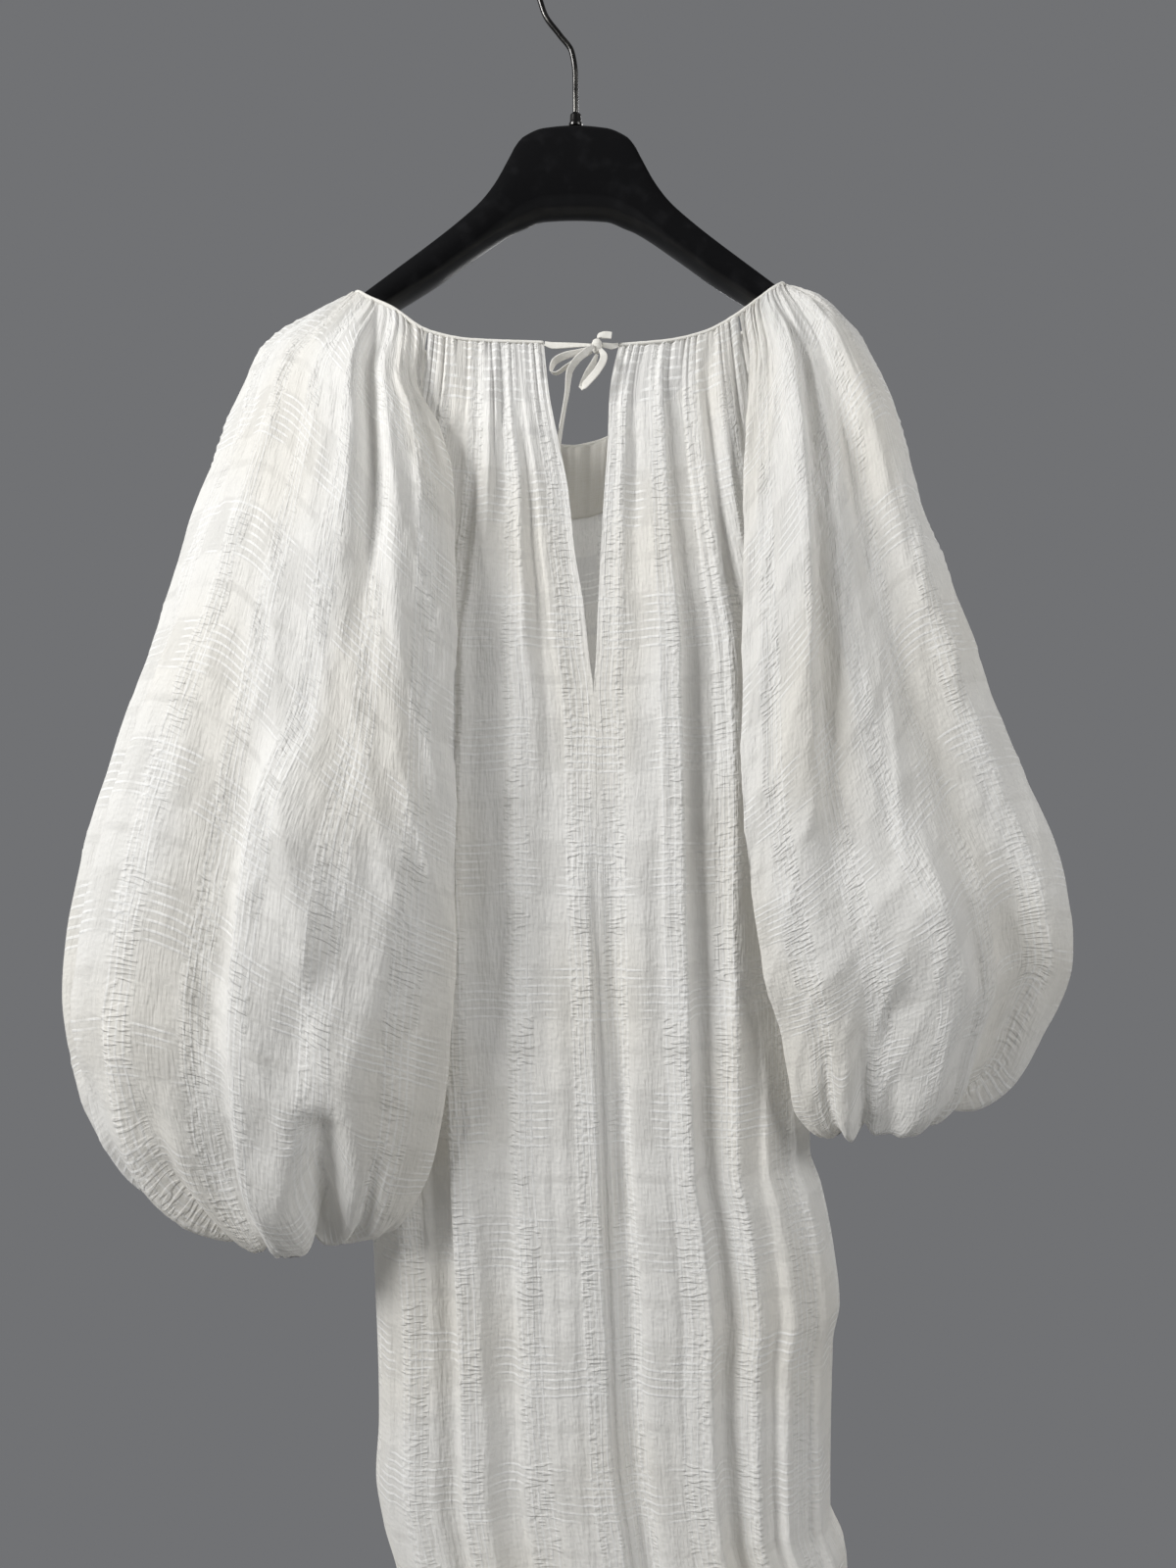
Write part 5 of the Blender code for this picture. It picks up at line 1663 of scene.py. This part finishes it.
@dataclass
class Hanger:
    """The shaped hanger, its ferrule and its hook."""

    half_depth: float = 0.0195
    squareness: float = 0.35  # of its section: 0 is an ellipse and 1 a block
    corners: int = 36
    sections: int = 150
    end_crowding: float = 1.25  # more than 1 puts its sections closer at the ends
    lip_from: float = 0.62  # share of the half height below the middle at which the glossy lip starts
    lip_soft: float = 0.12
    hook_radius: float = 0.033
    wire_radius: float = 0.0025
    wire_corners: int = 20
    stem_steps: int = 48
    arc_steps: int = 72
    arc_degrees: tuple[float, float] = (188.0, -28.0)
    tip: tuple[float, ...] = (0.97, 0.88, 0.70, 0.38)  # how the wire's radius rounds off at its end
    ferrule_radius: float = 0.006
    ferrule_top: float = 0.150
    ferrule_corners: int = 40
    ferrule_edge: float = 40.0  # degrees from which a bend is sharp

    def body(self, finishes: Finishes) -> Piece:
        """The hanger's body.

        Args:
            finishes: The four finishes.

        Returns:
            The piece.
        """
        half = np.stack([HANGER["x"], HANGER["top"], HANGER["bottom"]], axis=1)
        rows = np.concatenate([half[:0:-1] * np.array([-1.0, 1.0, 1.0]), half])

        def span(x: Array) -> tuple[Array, Array]:
            """The height of the section's middle, and half its own height."""
            top, bottom = smooth(rows[:, 0], rows[:, 1], x), smooth(rows[:, 0], rows[:, 2], x)
            return -(top + bottom) / 2, (bottom - top) / 2

        place = np.linspace(-1, 1, self.sections)
        x = rows[-1, 0] * np.sign(place) * (1 - (1 - np.abs(place)) ** self.end_crowding)
        angles = turn_angles(self.corners) + math.pi / self.corners
        across, up = np.cos(angles), np.sin(angles)
        square = np.maximum(np.abs(across), np.abs(up)) ** self.squareness
        middle, half_height = (row[:, None] for row in span(x))
        deep = np.repeat((self.half_depth * across / square)[None], len(x), axis=0)
        high = half_height * (up / square)[None] + middle
        rings = np.stack([np.repeat(x[:, None], self.corners, axis=1), deep, high], axis=-1)
        piece = tube_piece("hanger_body_flocked", rings)
        points = np.array([vertex.co for vertex in piece.data.vertices])
        middle, half_height = span(points[:, 0])
        level = (points[:, 2] - middle) / half_height
        layer = piece.data.attributes.new("lip", "FLOAT", "POINT")
        layer.data.foreach_set("value", ease((-level - self.lip_from) / self.lip_soft))
        return finishes.dress(piece, Slot.FLOCK, "hanger_body")

    def ferrule(self, finishes: Finishes) -> Piece:
        """The metal collar where the hook enters the hanger.

        Args:
            finishes: The four finishes.

        Returns:
            The piece.
        """
        foot = HANGER["top"][0] - SEAM_GAP
        angles = turn_angles(self.ferrule_corners)
        radius = self.ferrule_radius * FERRULE["radius"][:, None]
        height = -foot + (foot - self.ferrule_top) * FERRULE["height"][:, None]
        x = HOOK_STEM["x"][0] + radius * np.cos(angles)
        rings = [x, radius * np.sin(angles), np.repeat(height, self.ferrule_corners, axis=1)]
        piece = tube_piece("hook_ferrule_collar", np.stack(rings, axis=-1))
        piece.data.shade_flat()
        select_only(piece)
        bpy.ops.object.shade_smooth_by_angle(angle=math.radians(self.ferrule_edge))
        return finishes.dress(piece, Slot.METAL, "hook_ferrule")

    def hook(self, finishes: Finishes) -> Piece:
        """The wire of the hook.

        Args:
            finishes: The four finishes.

        Returns:
            The piece.
        """
        stem = np.stack([HOOK_STEM["x"], np.zeros(len(HOOK_STEM["x"])), -HOOK_STEM["drop"]], axis=1)
        stem = route_points(stem, np.linspace(0, 1, self.stem_steps))
        angles = np.radians(np.linspace(*self.arc_degrees, self.arc_steps))
        heights = self.hook_radius * np.sin(angles) - (self.hook_radius - self.wire_radius)
        arc = np.stack([self.hook_radius * np.cos(angles), np.zeros(len(angles)), heights], axis=1)
        centres = np.concatenate([stem, arc])
        radius = np.full(len(centres), self.wire_radius)
        radius[-len(self.tip):] *= np.array(self.tip)
        rings = rings_along(centres, radius, self.wire_corners, (0.0, 1.0, 0.0))
        piece = tube_piece("hook_wire_bend", rings)
        return finishes.dress(piece, Slot.METAL, "hook_wire")

    def build(self, finishes: Finishes) -> None:
        """Builds and dresses the hanger's three pieces."""
        self.body(finishes)
        self.ferrule(finishes)
        self.hook(finishes)


class Dress:
    """Every cut piece of the dress."""

    def fronts(self) -> list[ClothPiece]:
        """The two front panels.

        Returns:
            The left and the right panel.
        """
        return [
            ClothPiece(
                node=f"front_{side.value}",
                base=front_base(side),
                outward=-side.away,
                length=CLOTH_LENGTH,
                cut=(0.26, CLOTH_LENGTH),
                gathers=Gathers(15, 0.0017, reach, seed, 0.42),
                crinkle=0.00045,
                seed=seed,
            )
            for side, reach, seed in ((Side.LEFT, 0.060, 5), (Side.RIGHT, 0.070, 8))
        ]

    def back(self) -> ClothPiece:
        """The back panel.

        Returns:
            The panel.
        """
        return ClothPiece(
            node="back",
            base=back_base,
            outward=1.0,
            length=CLOTH_LENGTH,
            cut=(0.52, CLOTH_LENGTH),
            gathers=Gathers(22, 0.0018, 0.080, 14, 0.45),
            columns=132,
            rows=320,
            seed=14,
        )

    def sleeves(self) -> list[ClothPiece]:
        """The two sleeves.

        Returns:
            The left and the right sleeve.
        """
        stops = ((0.0, 0.0), (0.13, UNDERSIDE_END), (0.64, FRONT_WALL_END), (1.0, 1.0))
        lengths = {side: float(rows["down"][-1]) for side, rows in SLEEVES.items()}
        return [
            ClothPiece(
                node=f"sleeve_{side.value}",
                base=sleeve_base(side),
                outward=-side.away,
                length=lengths[side],
                cut=(0.80, lengths[side]),
                gathers=Gathers(24, 0.0017, 0.055, seed, 0.30),
                cuff=Gathers(18, 0.0030, 0.060, seed + 1, 0.19),
                column_stops=stops,
                columns=206,
                rows=226,
                crinkle=0.0010,
                seed=seed,
                cut_share=0.86,
                slant=0.38,
            )
            for side, seed in ((Side.LEFT, 21), (Side.RIGHT, 34))
        ]

    def build(self, finishes: Finishes) -> None:
        """Builds the cloth pieces, the facing, the binding and the bow.

        Args:
            finishes: The four finishes.
        """
        back = self.back()
        for piece in (*self.fronts(), back, *self.sleeves()):
            piece.build(finishes)
        Facing(back).build(finishes)
        Binding().build(finishes)
        Bow().build(finishes)


@dataclass(frozen=True)
class Lamp:
    """A square soft light that looks at the middle of the dress."""

    name: str
    place: Point
    size: float  # its side, in metres
    power: float  # in watts
    aim_at: Point = (0.0, 0.0, -0.85)

    def build(self) -> None:
        """Hangs the light."""
        data = bpy.data.lights.new(self.name, "AREA")
        data.shape = "SQUARE"
        data.size = self.size
        data.energy = self.power
        made = bpy.data.objects.new(self.name, data)
        made.location = self.place
        aim = unit(np.array(self.aim_at) - np.array(self.place))
        made.rotation_euler = (math.acos(-aim[2]), 0.0, math.atan2(-aim[0], aim[1]))
        bpy.context.scene.collection.objects.link(made)


@dataclass
class Studio:
    """The camera, the lights, the grey room and the pale floor."""

    eye: Point = (0.0113, -1.15, -0.744)
    focal: float = 29.745  # millimetres on a frame 36 mm high
    floor_drop: float = 1.72
    floor_radius: float = 0.40
    floor_colour: Colour = (0.72, 0.71, 0.69, 1.0)
    room: Colour = (0.165, 0.168, 0.175, 1.0)
    lamps: tuple[Lamp, ...] = (
        Lamp("key", (-2.2, -1.35, 0.6), 0.9, 98.0),
        Lamp("fill", (2.0, -1.6, 0.3), 1.0, 32.0),
        Lamp("rear", (0.9, 2.1, 0.3), 1.4, 34.0),
    )

    def camera(self) -> None:
        """A level camera at the photograph's angle."""
        data = bpy.data.cameras.new("camera")
        data.sensor_fit = "VERTICAL"
        data.sensor_height = 36.0
        data.lens = self.focal
        made = bpy.data.objects.new("camera", data)
        made.location = self.eye
        made.rotation_euler = (math.pi / 2, 0.0, 0.0)
        bpy.context.scene.collection.objects.link(made)
        bpy.context.scene.camera = made

    def build(self) -> None:
        """Builds the studio."""
        self.camera()
        world = bpy.data.worlds.new("room")
        world.use_nodes = True
        world.node_tree.nodes["Background"].inputs[0].default_value = self.room
        bpy.context.scene.world = world
        bpy.context.scene.view_settings.view_transform = "Standard"
        for lamp in self.lamps:
            lamp.build()
        bpy.ops.object.select_all(action="DESELECT")
        bpy.ops.mesh.primitive_circle_add(vertices=96, radius=self.floor_radius, fill_type="NGON")
        floor = bpy.context.object
        floor.name = "studio_floor"
        for vertex in floor.data.vertices:
            vertex.co.z = -self.floor_drop
        made, bench = start_material("pale_floor")
        paint = {"Base Color": self.floor_colour, "Roughness": 0.8}
        bench.end(bench.add("ShaderNodeBsdfPrincipled", paint).outputs[0])
        floor.data.materials.append(made)


def main() -> None:
    """Builds the studio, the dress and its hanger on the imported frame."""
    logging.basicConfig(level=logging.INFO, format="%(name)s %(message)s")
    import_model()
    Studio().build()
    finishes = Finishes.make()
    Dress().build(finishes)
    Hanger().build(finishes)


if __name__ == "__main__":
    main()
